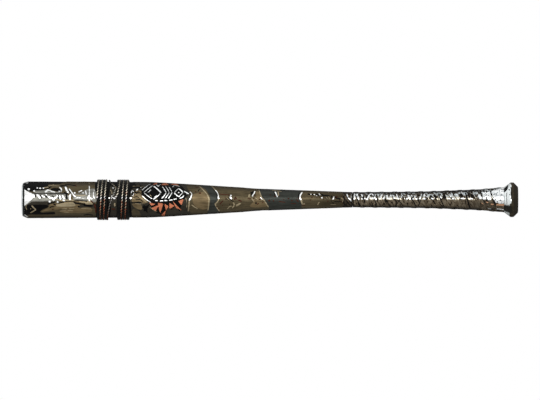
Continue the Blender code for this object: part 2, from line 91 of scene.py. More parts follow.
# Marks are placed by millimetres from the tip's face and millimetres above the axis as seen from
# the front. A height beyond the bat's radius goes on round the back. A stroke is its half width
# and the places that it runs through, or one place for a round spot. A patch is its outline.
# They were placed on the picture, and later layers cover earlier ones.
STROKES = {
    "black": (
        # Round the tip's white chip and over the dark top.
        (2.3, (5, 21.5), (9.5, 18), (15.5, 16.5), (21.5, 17)), (1.4, (20, 17), (30.5, 17), (39, 17.5)),
        (1, (63.5, 23), (70.5, 25), (76.5, 24)), (1.6, (69.5, 23.5), (74, 24.5), (79, 23.5)),
        (1, (77, 27), (84, 26.5), (93, 25)), (1.2, (53, 17), (60, 17.5), (67, 17)),
        (0.9, (20, 11.5), (28.5, 11), (39, 11.5), (47.5, 10.5), (63.5, 11), (74, 11), (81.5, 10.5)),
        (1.6, (75.5, 12), (80, 10.5)), (1, (83, 18), (85, 13.5), (87.5, 11.5)),
        # Painted shade in the gaps between the bright chips along the tip's highlight.
        (1.2, (18, 8), (18.5, 5)), (1, (24.5, 8.5), (25, 5)), (1, (34, 8.5), (35, 3.5)),
        (1.2, (42.5, 7), (45, 4)), (1.2, (55, 6.5), (57.5, 2.5)), (0.9, (64.5, 8), (65.5, 1.5)),
        (0.9, (70, 5.5), (69.5, 4.5)), (1.6, (78.5, 8), (79.5, 1.5)), (1, (90, 7.5), (91, 5)),
        # Gouges through the tan patch behind the tip.
        (1, (65, -6.5), (70.5, -5), (75.5, -3.5), (80.5, -2.5), (87.5, -2.5)),
        (1.4, (92, -4.5), (94.5, -6), (101.5, -7), (112, -8)), (1, (77, 26.5), (84, 26), (93, 24.5)),
        (0.8, (94.5, -1), (100, -1), (108.5, -2), (119, -3)), (1.2, (46.5, -7.5), (53, -6), (58.5, -4)),
        (1.2, (57, -8), (60, -9.5)), (1.6, (68, -11)), (1.9, (100, -12)),
        (1, (50, -14), (52, -12.5), (57, -12.5)), (1.2, (44.5, -13.5), (46.5, -11.5)),
        (1.7, (39, -23.5), (47.5, -23), (56.5, -23.5)), (2.3, (111, -9.5), (117.5, -10.5), (122.5, -10)),
        (1.6, (109.5, -27), (115.5, -26), (124, -27)), (1.2, (124, -6.5), (129.5, -9)),
        # Beside the wire bands.
        (1.4, (129.5, 29), (129.5, 22), (130, 15)), (1.6, (162, 21), (165, 19)),
        (1.4, (191.5, 22), (199, 21), (208, 20)), (1.4, (196.5, 16), (199, 11.5), (203.5, 13.5)),
        (1, (191.5, -5.5), (199, -5.5), (207.5, -4.5)), (1.6, (193, 11.5)),
        (1.6, (154.5, -12.5), (154, -21.5)),
        # Cracks in the patch behind the second strap.
        (0.7, (194.5, 3), (200, 6), (205, 3)), (0.7, (199.5, 0), (205.5, 0.5), (211, -3)),
        (0.7, (205.5, 13.5), (209, 9), (213.5, 6.5)), (0.8, (194, 11.5), (196.5, 9)),
        # On the tan patch and inside the slate band.
        (0.9, (309.5, 18), (307.5, 15)), (0.6, (333.5, 17.5), (338.5, 12.5), (340, 6.5), (339.5, 0.5)),
        (1, (295, -12.5)),
        # Chips of the olive stretch.
        (1, (361, 7.5)), (0.8, (360.5, 3.5), (363, 0.5), (368.5, -3.5)), (0.6, (355.5, 2.5), (360, -1)),
        (0.9, (372.5, 5), (371, 3)), (1, (362.5, -8)), (1, (366.5, -9)), (1.7, (408, -6)),
        # The blue slate stretch.
        (0.8, (439.5, 14), (440.5, 10.5), (441, 6)), (1, (483.5, 11.5), (482.5, 7.5), (482.5, 3.5)),
        # The string of flecks.
        (1.6, (499, 10), (501, 9.5)), (1.6, (505.5, 9.5), (507.5, 8.5)),
        (1.5, (512.5, 10), (515, 9), (517, 7.5)), (1.2, (520, 10), (524, 9)),
        (1.4, (524, 7), (530, 7.5), (535, 6.5)), (1, (539, 7), (540, 2.5)),
        (1.4, (545.5, 4.5), (549, 2.5)), (1.6, (551, 2.5), (554, 1.5)), (1.4, (542, -6)),
        (1, (539, -2.5)), (0.9, (529, 4), (531, 1.5)), (0.7, (544.5, -3), (552.5, -3.5), (558.5, -3)),
    ),
    "white": (
        # The tip's chips of bare metal, painted white as highlights.
        (2, (13, 18.5)), (1.7, (22.5, 15)), (1.4, (28, 20.5)), (1.6, (33, 20)), (1.4, (38.5, 20)),
        (1.6, (42.5, 14), (46.5, 16.5)), (0.9, (49.5, 16.5), (53, 14.5), (58, 13.5)), (1.2, (66, 14.5)),
        (1, (69.5, 14.5)), (0.9, (67, 21), (69.5, 19), (70, 16.5)),
        (1.5, (77, 22), (78.5, 17.5), (81.5, 13)), (0.9, (83.5, 18.5), (88.5, 12), (91, 8), (94, 5.5)),
        (1.5, (93, 12)), (1.4, (85.5, 9), (84.5, 5), (85, 0.5)), (1.7, (49.5, -3.5)), (1.7, (63.5, -4)),
        (1.4, (54, 3), (56.5, -1)), (1, (73, -1), (75.5, -2)), (0.9, (100, 13.5), (105.5, 16)),
        (1.3, (107.5, 12)), (0.9, (112, 15), (113, 9.5)),
        # Painted highlights: a pale streak along the bright line before the bands, glints on the mouth's
        # rim above and below, and a line down the mouth's edge.
        (0.4, (94.5, 2.5), (100, 3.5), (106, 2.5), (112, 3)), (2.1, (6, 30.5), (10, 29.5)),
        (2.1, (6, -27), (10, -29.5)), (0.5, (1, 20.5), (0.5, 6.5), (0.5, -7.5), (1, -17)),
        # Painted highlights on the crumpled skin along the tip's bright line.
        (1.4, (21.5, 8.5), (22.5, 5.5)), (1.3, (28, 8.5), (31, 6), (32.5, 3)), (1.2, (36.5, 7), (40, 5)),
        (1.2, (47.5, 5.5), (51, 2.5)), (1.4, (55, 1.5), (58, 2.5), (61, 4.5)),
        (1.2, (67, 7), (68.5, 1.5)), (1.2, (72, 7), (75, 1.5)), (0.7, (43, 9), (45, 8)),
        (0.7, (61.5, 8.5), (63.5, 6)),
        # The star-shaped chip before the first band, painted as the glint of a dent.
        (0.7, (118, 24), (118.5, 13.5), (118, 1.5)), (0.7, (117, 7), (115.5, 1)),
        (0.8, (119.5, 3), (123, 1.5)), (1, (118.5, 0.5), (118.5, -2)), (0.9, (126.5, 16)),
        (0.6, (126, 14), (125.5, 7.5), (127.5, 2)),
        # Painted glints between and behind the bands.
        (1.2, (153, 3)), (1.7, (162, 2.5)), (1.2, (158, 6)), (0.8, (159.5, 21), (160, 20)),
        (1.6, (190.5, 2.5)), (0.6, (191, 11), (192, 14.5), (194, 15.5), (195.5, 14)),
        (0.5, (195.5, 10.5), (194.5, 7.5), (193, 7)), (1, (200.5, 16.5), (202.5, 18.5)), (0.9, (208, 21)),
        # The design: a large lozenge, a small one, chevrons and dashes.
        (0.6, (213.5, 13), (220, 18.5), (228, 24.5)), (1, (230.5, 23.5), (236.5, 18.5), (242.5, 13)),
        (0.7, (241.5, 10.5), (235.5, 5), (229.5, 0.5)), (0.5, (227, 1.5), (220.5, 6.5), (214, 11.5)),
        (0.6, (210, 16.5), (217.5, 23), (224.5, 27.5)), (0.6, (210, 7), (216, 1.5)),
        (0.5, (217, 0.5), (225.5, -5)), (0.5, (231.5, 4.5), (235.5, 7.5)), (0.6, (220.5, 13), (225, 17)),
        (0.6, (245.5, 22.5), (249, 17.5), (251.5, 13.5)), (0.8, (251.5, 11.5), (248.5, 7), (245, 2.5)),
        (0.5, (251, 23), (254.5, 18), (257, 14)), (0.7, (257, 12), (253.5, 7), (250.5, 2.5)),
        (0.5, (256.5, 22.5), (259.5, 18), (262, 14)), (0.8, (262, 12), (259, 7), (256, 2.5)),
        (0.6, (266.5, 13), (270, 16.5), (273, 19.5)), (1, (274.5, 19), (278, 16), (280.5, 13)),
        (0.7, (280, 11.5), (277, 8.5), (274.5, 5.5)), (0.8, (272.5, 6), (269.5, 8.5), (266.5, 11.5)),
        (1.1, (273.5, 12.5)), (0.6, (234.5, 26.5), (238, 23.5), (238, 23.5), (242, 27), (242, 27)),
        (0.6, (263, 21.5), (267, 25.5), (275, 23)), (0.7, (233, -1.5), (237, -2)),
        (0.8, (241.5, -2.5), (246, -2)), (0.8, (249.5, -1.5), (253.5, -2)),
        (0.8, (257.5, -1), (262.5, -0.5)), (0.8, (265.5, 0.5), (269.5, 1.5)),
        (0.8, (276, 2.5), (279.5, 4), (282.5, 7)), (0.9, (283.5, 14.5), (290.5, 10.5)),
        # The tan patch's and the slate band's edges, painted white as highlights where they face the light.
        (0.6, (293.5, 13.5), (296, 11), (296.5, 8.5)),
        (0.9, (296.5, 9), (295, 4.5), (293.5, 1.5), (292.5, -1)),
        (0.7, (337.5, 16.5), (341, 12), (342.5, 7.5)), (1, (342.5, 6), (343, 2)),
        # Chips and ridge edges on the olive and slate stretches, painted white as highlights where they
        # face the light.
        (1.3, (364.5, 7.5)), (1.3, (363.5, 4.5), (365, 2)), (0.9, (406, 14.5), (404.5, 11), (401.5, 6.5)),
        (0.6, (415.5, 4), (419, 0.5)), (1, (441.5, 13.5), (443, 10), (445, 5.5)),
        (1.1, (488, 12.5), (485.5, 8.5), (484.5, 4), (486, 0)), (1, (503.5, 9.5)), (1.2, (509.5, 9)),
        (0.7, (517.5, 10.5), (519.5, 8)), (0.8, (513.5, 7)), (1.3, (522.5, 3.5)),
        (1, (543.5, 5), (542, 1)),
    ),
    "cream": (
        # The tip.
        (1, (40, 21), (46.5, 22)), (1, (19, -11), (21.5, -14), (25, -17), (22, -19.5), (16.5, -22.5)),
        (1, (16.5, -16)), (0.6, (10, -8.5), (8, -12.5), (9.5, -17)),
        (0.9, (101.5, -3.5), (107, -4.5), (112, -4.5)), (0.8, (94.5, 7.5), (103.5, 7.5), (112, 8)),
        (1.4, (55.5, 26.5)), (0.8, (47.5, 24), (56.5, 24.5), (67, 23.5)),
        (1, (61.5, 0.5), (70.5, -1.5), (80.5, -1), (91, -1)), (1.6, (113, -6.5), (118, -6), (123, -7)),
        (0.7, (70.5, -16), (79, -15.5)), (0.7, (84, -15.5), (92, -15)), (0.6, (68, -19.5), (77, -19)),
        (0.6, (81.5, -18.5), (89.5, -19)), (0.5, (74, -22), (82.5, -21.5)),
        (0.8, (105, -15), (114, -15), (121, -15.5)), (1.4, (118, 28)), (0.7, (94.5, 28.5), (97.5, 30)),
        # Between the bands.
        (1.2, (162.5, -6.5), (162.5, -11)), (0.7, (154.5, 30), (159, 27), (164.5, 21)),
        (0.5, (155, 17.5), (158.5, 10.5)), (1, (168.5, -7.5)),
        # Behind the bands.
        (0.5, (194, 23.5), (202.5, 24), (211.5, 23.5)),
        # Cracks behind the second strap.
        (0.6, (191.5, 4), (196.5, 1.5)), (0.5, (197, 11), (203.5, 8.5), (208.5, 10)),
        (0.6, (205, 5), (212, 0.5), (217, -4.5)), (0.5, (199, -6.5), (206, -7.5), (212, -6.5)),
        (0.5, (223.5, -12.5), (228.5, -17), (235.5, -20.5)), (0.5, (286, 3), (288, -5.5), (287, -14.5)),
        # Worn specks in the design.
        (0.5, (238, 18.5)), (0.6, (234, 0.5), (236.5, 1.5)), (0.5, (260.5, 19)),
        (0.5, (268.5, 23), (270.5, 23.5)), (0.5, (247.5, 16)), (0.6, (224, 8.5), (226, 6)),
        (0.5, (282.5, 10.5)), (0.5, (218.5, 17.5)),
        # Edges of the tan patch and of the slate band.
        (1, (292, -1), (291.5, -9), (290, -19.5)),
        (0.9, (310, 23), (316, 17), (322.5, 10), (326, 2), (326, -5.5), (324.5, -18)),
        (0.8, (296.5, -9), (301, -12.5), (306, -15.5)), (0.9, (327, 25), (334, 20.5), (337.5, 16.5)),
        (1.1, (343, 0), (340.5, -4.5), (337, -7.5)), (0.8, (337, -8.5), (339.5, -13), (344, -19.5)),
        # Chips of the olive stretch.
        (0.6, (358, 2.5), (360.5, 0.5)), (0.9, (369, -5.5), (370, -9.5), (367, -14)),
        (0.8, (358.5, -15.5), (361.5, -12.5), (365, -11)), (1.5, (374.5, -10), (380, -7)),
        (1.3, (396.5, 9), (396, 6)), (0.7, (407, 3.5), (411, 0.5)), (0.7, (401, 1.5), (404.5, -3)),
        # Edges of the blue slate stretch.
        (0.9, (413, 16.5), (415.5, 10), (418, 3.5), (422.5, -1.5), (426, -7), (429.5, -12.5)),
        (0.9, (446.5, 13.5), (447, 7.5)), (0.9, (436, 16.5), (451.5, 14.5)),
        (1.4, (487, -2), (488.5, -7), (492, -7)),
        # The khaki stretch by the grip.
        (0.8, (530, 4.5), (531.5, 2.5)), (0.7, (534.5, 5.5), (536, 2)),
        (0.9, (517.5, -4.5), (515.5, -8.5)), (0.8, (556.5, 3), (559.5, 0.5), (558.5, -3.5)),
        (0.5, (546.5, -8), (537.5, -8.5)),
    ),
    "rust": (
        # The tip and the bands.
        (1, (121, -2), (124.5, -4.5)), (1.4, (127.5, -8.5), (129, -14.5)),
        (1.1, (129.5, -16), (129.5, -22.5)), (1.4, (158, -16), (162, -16.5)),
        (0.9, (54, -17), (56.5, -16.5)), (0.8, (93.5, 26), (95.5, 23)),
        # The tan patch.
        (1.3, (303, 14)), (1.3, (309.5, 11.5), (311.5, 11.5)), (0.9, (303, 21.5), (307.5, 21.5)),
        # The slate band and the olive stretch.
        (1.3, (339.5, -11.5)), (1.3, (343, -15)), (0.8, (344.5, 10), (352.5, 9), (361, 8.5)),
        (0.9, (350.5, -2), (348, -4.5), (345.5, -7.5)), (1, (377.5, -0.5), (382.5, -2.5)),
        (1, (370.5, 1), (371.5, 0.5)), (1, (355.5, 0.5)), (0.9, (354.5, 4)), (1, (372, 4), (374, 1.5)),
        (0.9, (350, -10)), (0.9, (394.5, 2), (398.5, 1.5)), (1.1, (405.5, 7)), (1.1, (404, 2.5)),
        (1.3, (414.5, 0.5)), (1.2, (420, -4.5)), (0.9, (410, -8), (412.5, -6.5)),
        # The blue slate stretch.
        (1.6, (431, -1.5)), (1.3, (438.5, -2)), (1.1, (432.5, 8.5)), (1.3, (441, 6)), (1.3, (464.5, 2)),
        (1.4, (470.5, -1.5)), (1, (478.5, 0), (481.5, -3)), (1.3, (482, 2.5)),
        (0.7, (448, -3), (458.5, -4.5)), (0.6, (469, -6.5), (477.5, -7)), (1, (456, 0.5)),
        (0.9, (449, 7.5)), (1, (488.5, -9), (492, -9)),
        # The khaki stretch by the grip.
        (1.3, (505.5, 4.5)), (1, (514, 4.5)), (1.2, (519.5, 3.5)), (1.1, (502.5, -0.5)),
        (1.3, (533, -2.5)), (1.6, (548, 5)), (1, (543.5, 0.5)), (1, (537, 4)), (1, (553, -1)),
        (0.9, (525.5, 0.5)), (0.9, (559.5, 2)), (0.9, (556.5, -3)), (0.9, (558.5, -5.5)), (1.1, (557, 6)),
    ),
}

PATCHES = {
    "umber": (
        # Painted shade between the bands.
        ((147, 41.5), (169.5, 41.5), (170.5, 1.5), (168.5, -14.5), (168.5, -42), (147, -42)),
        # The shaded foot of the tip's bare metal.
        ((11, -2), (49.5, -1), (50.5, -10), (9.5, -10.5)),
        # Behind the second band.
        ((190.5, 45), (223.5, 45), (258.5, 41.5), (282.5, 27.5), (289.5, 18.5), (295, 6.5), (288, -11),
         (293, -25), (258.5, -38.5), (216.5, -42), (206, -21.5), (195.5, -16), (190.5, -14.5)),
        # The dark stretch behind the tan patch by the bands.
        ((98, -10), (112, -9), (131, -8.5), (131, -14), (112, -12.5), (101.5, -13.5)),
    ),
    "slate": (
        # The slate band like a brace.
        ((303.5, 38), (312, 24), (320, 18), (326, 10), (328, 3), (328, -7.5), (326, -16), (317.5, -38.5),
         (352.5, -38.5), (343.5, -19.5), (338.5, -12.5), (336, -7.5), (340, -3), (343, 3), (342, 9),
         (338.5, 15), (333, 20.5), (326, 25), (317.5, 38)),
        # The blue slate stretch.
        ((408, 41.5), (413, 17), (416, 10), (418.5, 3), (423, -2), (426, -8.5), (429.5, -13.5),
         (439.5, -38.5), (481, -38.5), (487, -12.5), (486.5, -5.5), (485, 3), (485, 10), (489, 17),
         (495, 41.5)),
    ),
    "tan": (
        # The tan patch behind the tip.
        ((48.5, -9.5), (53, -7), (61.5, -6), (67, -6.5), (77, -4), (89.5, -3), (94.5, -6.5), (101.5, -9),
         (100, -14.5), (91, -16), (70.5, -16), (58, -18), (44, -19.5), (35, -21), (40.5, -17.5),
         (48, -13.5)),
        # Scraps round the star-shaped chip.
        ((91, -2), (103.5, -2.5), (115.5, -4.5), (115.5, -6.5), (101.5, -5.5)),
        ((100, -15.5), (110.5, -13.5), (121, -14), (122.5, -20.5), (108.5, -22.5), (84, -23), (70.5, -22),
         (67, -18.5), (87.5, -17)),
        # Behind the second band.
        ((192, -1), (194, 5), (197, 14.5), (204.5, 16), (211.5, 12), (217, 3.5), (220.5, -3), (215, -6.5),
         (208, -4), (201, -3.5), (194, -4.5)),
        ((193, -7.5), (201, -6.5), (208, -8.5), (210, -13.5), (208.5, -17.5), (202.5, -16), (196.5, -13)),
        # The tan patch before the slate band.
        ((298.5, 9), (307, 12), (315.5, 14), (321.5, 9), (325, 1.5), (325, -7.5), (323, -15.5),
         (315.5, -17), (307, -14), (299.5, -8), (297.5, 1.5)),
        # By the black triangle.
        ((407.5, 13.5), (412.5, 13.5), (416.5, 4), (422, -4), (426, -11.5), (408, -13.5), (397.5, -11.5),
         (402.5, -4.5), (402.5, 0.5), (408.5, 3)),
    ),
    "steel": (
        # The bright collar of bare metal at the mouth.
        ((4.5, 17.5), (9.5, 16.5), (14.5, 14), (20, 10.5), (21.5, 0.5), (17.5, -4), (12, -7.5), (4.5, -9)),
        # The bare metal under the chips.
        ((20, 10), (47.5, 10.5), (77, 10), (83.5, 3), (77, -1), (61.5, -2), (48.5, -3), (21.5, -3),
         (17.5, -4), (20, -0.5)),
        # The dull metal above them.
        ((24, 16), (40, 16.5), (47.5, 17.5), (54.5, 15), (67, 13), (67, 11.5), (40.5, 11.5), (25, 11.5)),
        # Streaked metal before the first band.
        ((90.5, 9.5), (101.5, 10.5), (112, 17), (126, 19.5), (130, 13.5), (130, -3.5), (115.5, -2.5),
         (93, -0.5)),
    ),
    "black": (
        # The black top of the tip.
        ((-3, 41.5), (1.5, 20), (5, 19.5), (10, 16), (16.5, 14.5), (23.5, 14), (25.5, 17.5), (42.5, 18),
         (49.5, 20), (53, 23), (46.5, 24.5), (49.5, 27), (63.5, 27.5), (70.5, 29), (77, 41.5)),
        ((51, 18.5), (56.5, 20.5), (65, 20), (68.5, 17.5), (68, 14), (60, 15), (54.5, 16.5)),
        # The black underside of the tip.
        ((0.5, -25), (3.5, -9), (8.5, -8), (16.5, -9), (44, -9), (45, -13.5), (37, -17.5), (33, -21),
         (39, -22.5), (56.5, -21.5), (58.5, -23.5), (56.5, -25.5), (32, -26), (14.5, -26), (7.5, -27)),
        # Painted shadow on both sides of the straps.
        ((130.5, 41.5), (130, 27.5), (131, 17), (131, -0.5), (130.5, -18), (130.5, -42), (154, -42),
         (154.5, -28.5), (153.5, -11), (152.5, 3), (154, 17), (154, 29), (154, 41.5)),
        ((166, 41.5), (165.5, 20.5), (166.5, -0.5), (166, -21.5), (166, -42), (191.5, -42), (192, -25),
         (190.5, -9), (189, 3), (190.5, 15), (191.5, 27.5), (191, 41.5)),
        # Shade between the straps.
        ((148.5, 41.5), (168, 41.5), (168, 27.5), (165.5, 22.5), (162, 24.5), (158, 26.5), (155, 23),
         (152, 17), (148.5, 17)),
        # The design's dark ground.
        ((208.5, 12.5), (215, 22), (224.5, 29), (241, 30), (262, 29), (276.5, 25.5), (284.5, 17.5),
         (292, 12), (285, 3), (279, -6.5), (275.5, -20.5), (268.5, -10), (261, -18), (255, -11),
         (247.5, -31), (241.5, -25.5), (235, -22.5), (223, -8), (217.5, 1.5)),
        # Grime behind the second strap.
        ((210, -13.5), (213.5, -9.5), (217, -11), (223, -7), (220.5, -14), (219, -18.5), (220, -23),
         (215.5, -20), (212, -21), (213, -16)),
        ((187, 41.5), (187, 18), (191, 17.5), (196.5, 20.5), (208, 19.5), (211.5, 24.5), (206, 26.5),
         (199, 26.5), (194, 32.5), (194, 41.5)),
        # The black triangle.
        ((397.5, 14), (401, 14), (403, 15.5), (404.5, 13.5), (402.5, 9.5), (400, 7), (399.5, 10.5)),
    ),
    "white": (
        # The tip's bare metal, painted white as its highlight.
        ((5, 16.5), (8.5, 15.5), (14, 12.5), (20, 10), (20.5, 5), (17, -1), (13, -4.5), (8.5, -8.5),
         (5, -9)),
    ),
    "red": (
        # The design's shards.
        ((222, -5), (234, -7.5), (226.5, -10.5)), ((226, -14.5), (239, -9.5), (233.5, -19.5)),
        ((237.5, -5.5), (246.5, -6.5), (241.5, -24)), ((243.5, -26.5), (251, -18.5), (248, -30.5)),
        ((249, -7.5), (256, -11), (251.5, -19)), ((257.5, -5.5), (266.5, -11), (257.5, -16)),
        ((263, -2), (280, -19), (269.5, -14.5)), ((273, -2.5), (282.5, 1.5), (278.5, -9.5)),
        # The design's upper shards.
        ((228, 26.5), (235.5, 30), (236.5, 27.5)), ((243.5, 26), (250.5, 30), (256, 26)),
        ((259.5, 27), (267, 29), (274, 24.5)),
    ),
    "cream": (
        # The palest of the tan behind the tip.
        ((61, -8.5), (67, -7), (77, -5.5), (89.5, -4.5), (93.5, -7.5), (93.5, -11), (84, -12.5),
         (70.5, -12.5), (61.5, -11.5)),
        # The foot of the star-shaped chip.
        ((118, 5.5), (116, -1.5), (113, -6), (112, -8), (123.5, -8), (122.5, -5.5), (121, -1.5)),
    ),
}

GRIP_STROKES = {
    # Painted highlights: bright film laid on the raised crests where light glints on the crinkles.
    "shine": (
        # A painted highlight along the foot of the flare.
        (1.2, (827, -15.9), (832, -16.5), (838, -17.2)), (0.6, (812, -15.4), (817, -15.8)),
        # By the collar.
        (1.1, (579.4, 11), (579, 0.5)), (1.2, (584, 9), (584.5, 7), (586.5, 1)),
        (0.9, (591, 9.5), (593, 5.5)), (1, (592, 2), (592.5, 1.5)), (1.2, (597.5, 2.5), (597.5, 1.5)),
        # The two long folds that meet.
        (1.3, (608, 10.5), (604.5, 7), (601, 0.5)), (1.2, (610, 10), (613, 6), (617, 0.5)),
        (0.9, (610, 3.5), (612.5, 1.5)),
        # The middle of the grip.
        (1, (627, 8.5), (625.5, 6), (623, 2)), (1, (631.5, 5), (629, 1.5)),
        (1.2, (636, 7.5), (637, 3), (639.5, 1.5)), (1, (642.5, 8.5), (641, 5.5)),
        (1, (647, 9), (647.5, 5), (649.5, 1)), (1, (652.5, 8.5), (654, 5), (656, 2)),
        (0.9, (662, 8.5), (660.5, 4)), (1.4, (668, 2), (670.5, 1.5)),
        (1.2, (672.5, 7.5), (674, 4), (676.5, 1.5)), (1.2, (678.5, 7), (679, 6)),
        (1, (680.5, 2.5), (682, 1.5)), (1, (686, 6.5), (684.5, 5)), (1.4, (686.5, 2), (687.5, 1.5)),
        (1, (694, 5), (692.5, 1.5)), (1.2, (700.5, 8.5), (701.5, 6.5)), (1.2, (699.5, 1.5), (702, 1.5)),
        (1.2, (705.5, 6)),
        # The lower third.
        (1, (713.5, 3), (716, 1)), (1, (728.5, 6.5), (730, 3.5)), (1, (741.5, 2.5), (744, 1.5)),
        (1.2, (745, 9), (746.5, 5.5)), (1.4, (750.5, 2), (753.5, 1.5)), (1, (757, 10), (758, 6.5)),
        (1.2, (765, 2), (769.5, 2.5)), (1, (765, 15), (766.5, 11.5)), (1, (780.5, 2), (784, 1.5)),
        # Painted highlights where the flare turns to the light by the knob.
        (2.4, (796, 7), (798, 3.5)), (3.1, (805, 12), (806.5, 8.5), (805, 3)),
        (3.5, (813.5, 13.5), (812.5, 6.5), (813.5, 2.5)), (4.5, (822, 14), (824, 6.5), (825.5, -1)),
        (5.6, (831, 16.5), (832.5, 8.5), (832.5, -1.5)), (5.2, (838, 19.5), (839.5, 10), (838, -2)),
        (1, (801.5, 16.5), (809.5, 16.5), (813.5, 16)),
    ),
    "fold": (
        # The joint by the collar, and folds that run with the tape's edge.
        (0.7, (577.2, 17), (577.2, -18)), (0.9, (581.5, 7), (584.5, -0.5), (590, -11.5)),
        (0.9, (614.5, -1.5), (617.5, -7.5)), (0.9, (634, 2), (637.5, -5.5), (642, -12.5)),
        (1, (677.5, 2), (682.5, -4), (686, -11)), (1, (725, 10), (729, 0.5), (735, -11.5)),
        (1, (733, 2), (735, 8.5)), (1.4, (772.5, 11.5), (775.5, 0.5), (780, -14)),
        (0.9, (788.5, 10.5), (791, 5)),
        # Folds that cross it.
        (0.9, (698.5, 9.5), (695, 0.5), (690.5, -10)), (0.9, (597, -1), (596, -6.5)),
        (0.8, (648, 1), (655, -1), (661.5, -7.5)), (0.8, (658, -0.5), (653.5, -6.5), (650, -11)),
        (0.7, (606.5, 11.5), (603, 8.5), (600, 3.5)), (0.7, (621.5, 5), (623.5, 9.5)),
        (0.7, (589.5, 10), (590.5, 2)), (0.7, (595, 8.5), (595.5, 1.5)), (0.7, (632, 8.5), (634, 4.5)),
        (0.7, (665.5, 9), (664.5, 1.5)), (0.7, (675.5, 10), (679.5, 2.5)), (0.7, (689, 7), (690.5, 2.5)),
        (0.7, (713.5, 7.5), (714.5, 4)), (0.7, (747.5, 4), (749, -1)),
        # Nicks by the knob.
        (1.2, (803.5, 16.5), (805, 13.5)), (1.2, (816, 16), (816.5, 11.5), (818, 8)),
        (0.9, (835.5, 18), (839, 18.6)), (1.7, (821, -1), (822.5, -4.5), (824.5, -7.5)),
        (0.9, (800.5, 10.5), (801, 9.8)), (0.8, (796, 3.4), (797, 3)), (0.9, (808.4, 3.6), (809.2, 3.2)),
        (0.8, (817.8, 8.8), (818.2, 7.6)), (0.7, (812.2, 7.2), (813, 6.6)),
        (0.6, (823.2, 11), (823.8, 10.4)), (0.6, (835, 14), (836, 13.4)),
        (0.6, (835.6, -2.9), (836, -3.2)), (0.7, (827, -2), (827.4, -4)), (0.9, (797, 15), (800.5, 10.5)),
        (0.9, (808.5, 4.5), (809.5, 3)),
    ),
    "copper": (
        # Where the tape is worn to its cloth by the knob.
        (1.9, (829.5, -8.8), (834.5, -9), (839, -8.8)), (1.2, (817, -8), (820, -8)),
        (0.9, (826.5, -8), (827, -10)), (0.9, (809, -4.5), (811, -4.5)),
        (0.7, (800.5, -5.5), (803, -7.5)),
    ),
}

COLLAR_STROKES = {
    "shine": (
        # A painted highlight on the fold.
        (1, (566, 9.5), (567.5, 5.5)), (0.9, (568.5, 3), (570.5, 1.5), (573.5, -2)),
        (0.5, (574, 10), (573.5, 3)),
    ),
    "fold": (
        # The dark joint by the tape.
        (1.3, (575.3, 17), (575.3, -18)), (0.7, (561.5, 17), (561.5, -18)),
        (0.6, (564.5, 11.5), (565.5, 6), (568, 0.5)),
    ),
}

KNOB_STROKES = {
    "shine": (
        # Bare metal where the cone is worn, laid where its highlight falls, and painted glints along the
        # cone's lower edge.
        (4.5, (847.5, 21), (847, 10), (847.5, -2)), (1.7, (841.5, 20.5), (841, 6.5), (841.5, -4)),
        (1.7, (848, 27), (850.5, 25)), (0.8, (840.5, -20.4), (842, -21.4)),
        (0.7, (843.6, -22.6), (844.6, -23.4)), (0.7, (846.2, -24.8), (847.2, -25.6)),
    ),
    "fold": (
        # The tape's last turn and the chipped rim.
        (0.55, (843.9, 12), (843.6, 4), (843.9, -7)), (1, (838.4, 18.4), (842.4, 22.2), (846.2, 26.4)),
        (0.8, (847.5, 18), (848.5, 17)), (0.6, (848.4, 9.5), (849.2, 8.5)),
        (0.7, (851, 22), (851.5, 17), (851, 11.5), (851.5, 6.5), (851, 1.5)),
        (0.6, (842.6, -21.8), (843, -22.2)),
    ),
}

# A black wedge on the top of the knob's cone, and painted shade on its lower front.
KNOB_PATCHES = {
    "fold": (
        ((838, 14.6), (841, 14.2), (845.5, 19.5), (846.5, 25.6), (843, 23), (838.6, 19)),
    ),
    "soot": (
        ((836, -9.6), (842, -9.2), (848, -9.8), (852, -11.5), (853, -22), (846, -22.4), (838, -19.4)),
    ),
}

# The straps and the wires wound on them. Places along the bat are measured from the knob's end, and
# angles, in degrees, from the front upwards. A loose end is (towards the grip, round the bat) steps.
WIRE_DIAMETER = 0.0022
MOUTH = 0.8584
STRAP_THICKNESS = 0.0014
STRAP_FALL = 0.0040
POINTS_PER_TURN = 24
STEP_LATENESS = 1.2
FRONT_SHARE = 0.72
BANDS = {
    "wire_band_tip": {
        "strap": "strap_tip", "first": MOUTH - 0.1291, "pitch": 0.00653, "start": 2, "end": 990,
        "lead": (),
        "tail": ((0.0004, 30), (0.0014, 22), (0.0026, 23), (0.0042, 22), (0.0055, 27), (-0.0062, 22),
                 (-0.0034, 18), (-0.0014, 20)),
    },
    "wire_band_grip": {
        "strap": "strap_grip", "first": MOUTH - 0.1658, "pitch": 0.00688, "start": 45, "end": 935,
        "lead": ((-0.0016, -15), (-0.0014, -14), (-0.0031, -8), (-0.0026, -6)),
        "tail": (),
    },
}

# A strand's radius and its distance from the wire's centre, as shares of the wire's seen width.
STRAND_RADIUS = 0.28
STRAND_OFFSET = 0.22

# Along the bat, the place between the straps where the loose ends are rubbed bare, and the height of the
# line along which the wire's crests are painted white as a highlight.
BARE_WIRE = TIP + 157.4 * MM
WIRE_HIGHLIGHT_HEIGHT = 3.6 * MM

# The lapped tape: one turn's advance, how far a turn lies on the one before, the length over which
# it settles down, and the height of the step.
TAPE_PITCH = 0.0226
TAPE_OVERLAP = 0.0054
TAPE_SETTLE = 0.0040
TAPE_LAP = 0.0005

# Where the tube by the grip turns dirty, and where the lower side of the tape and the collar turns darker:
# the start and the end of the change in millimetres from the bat's tip, and the depth of the darkening.
BARREL_DIRT = (505, 530, 0.8)
GRIP_UNDERSIDE_DARKENING = (740, 800, 0.45)
COLLAR_UNDERSIDE_DARKENING = (500, 510, 0.6)

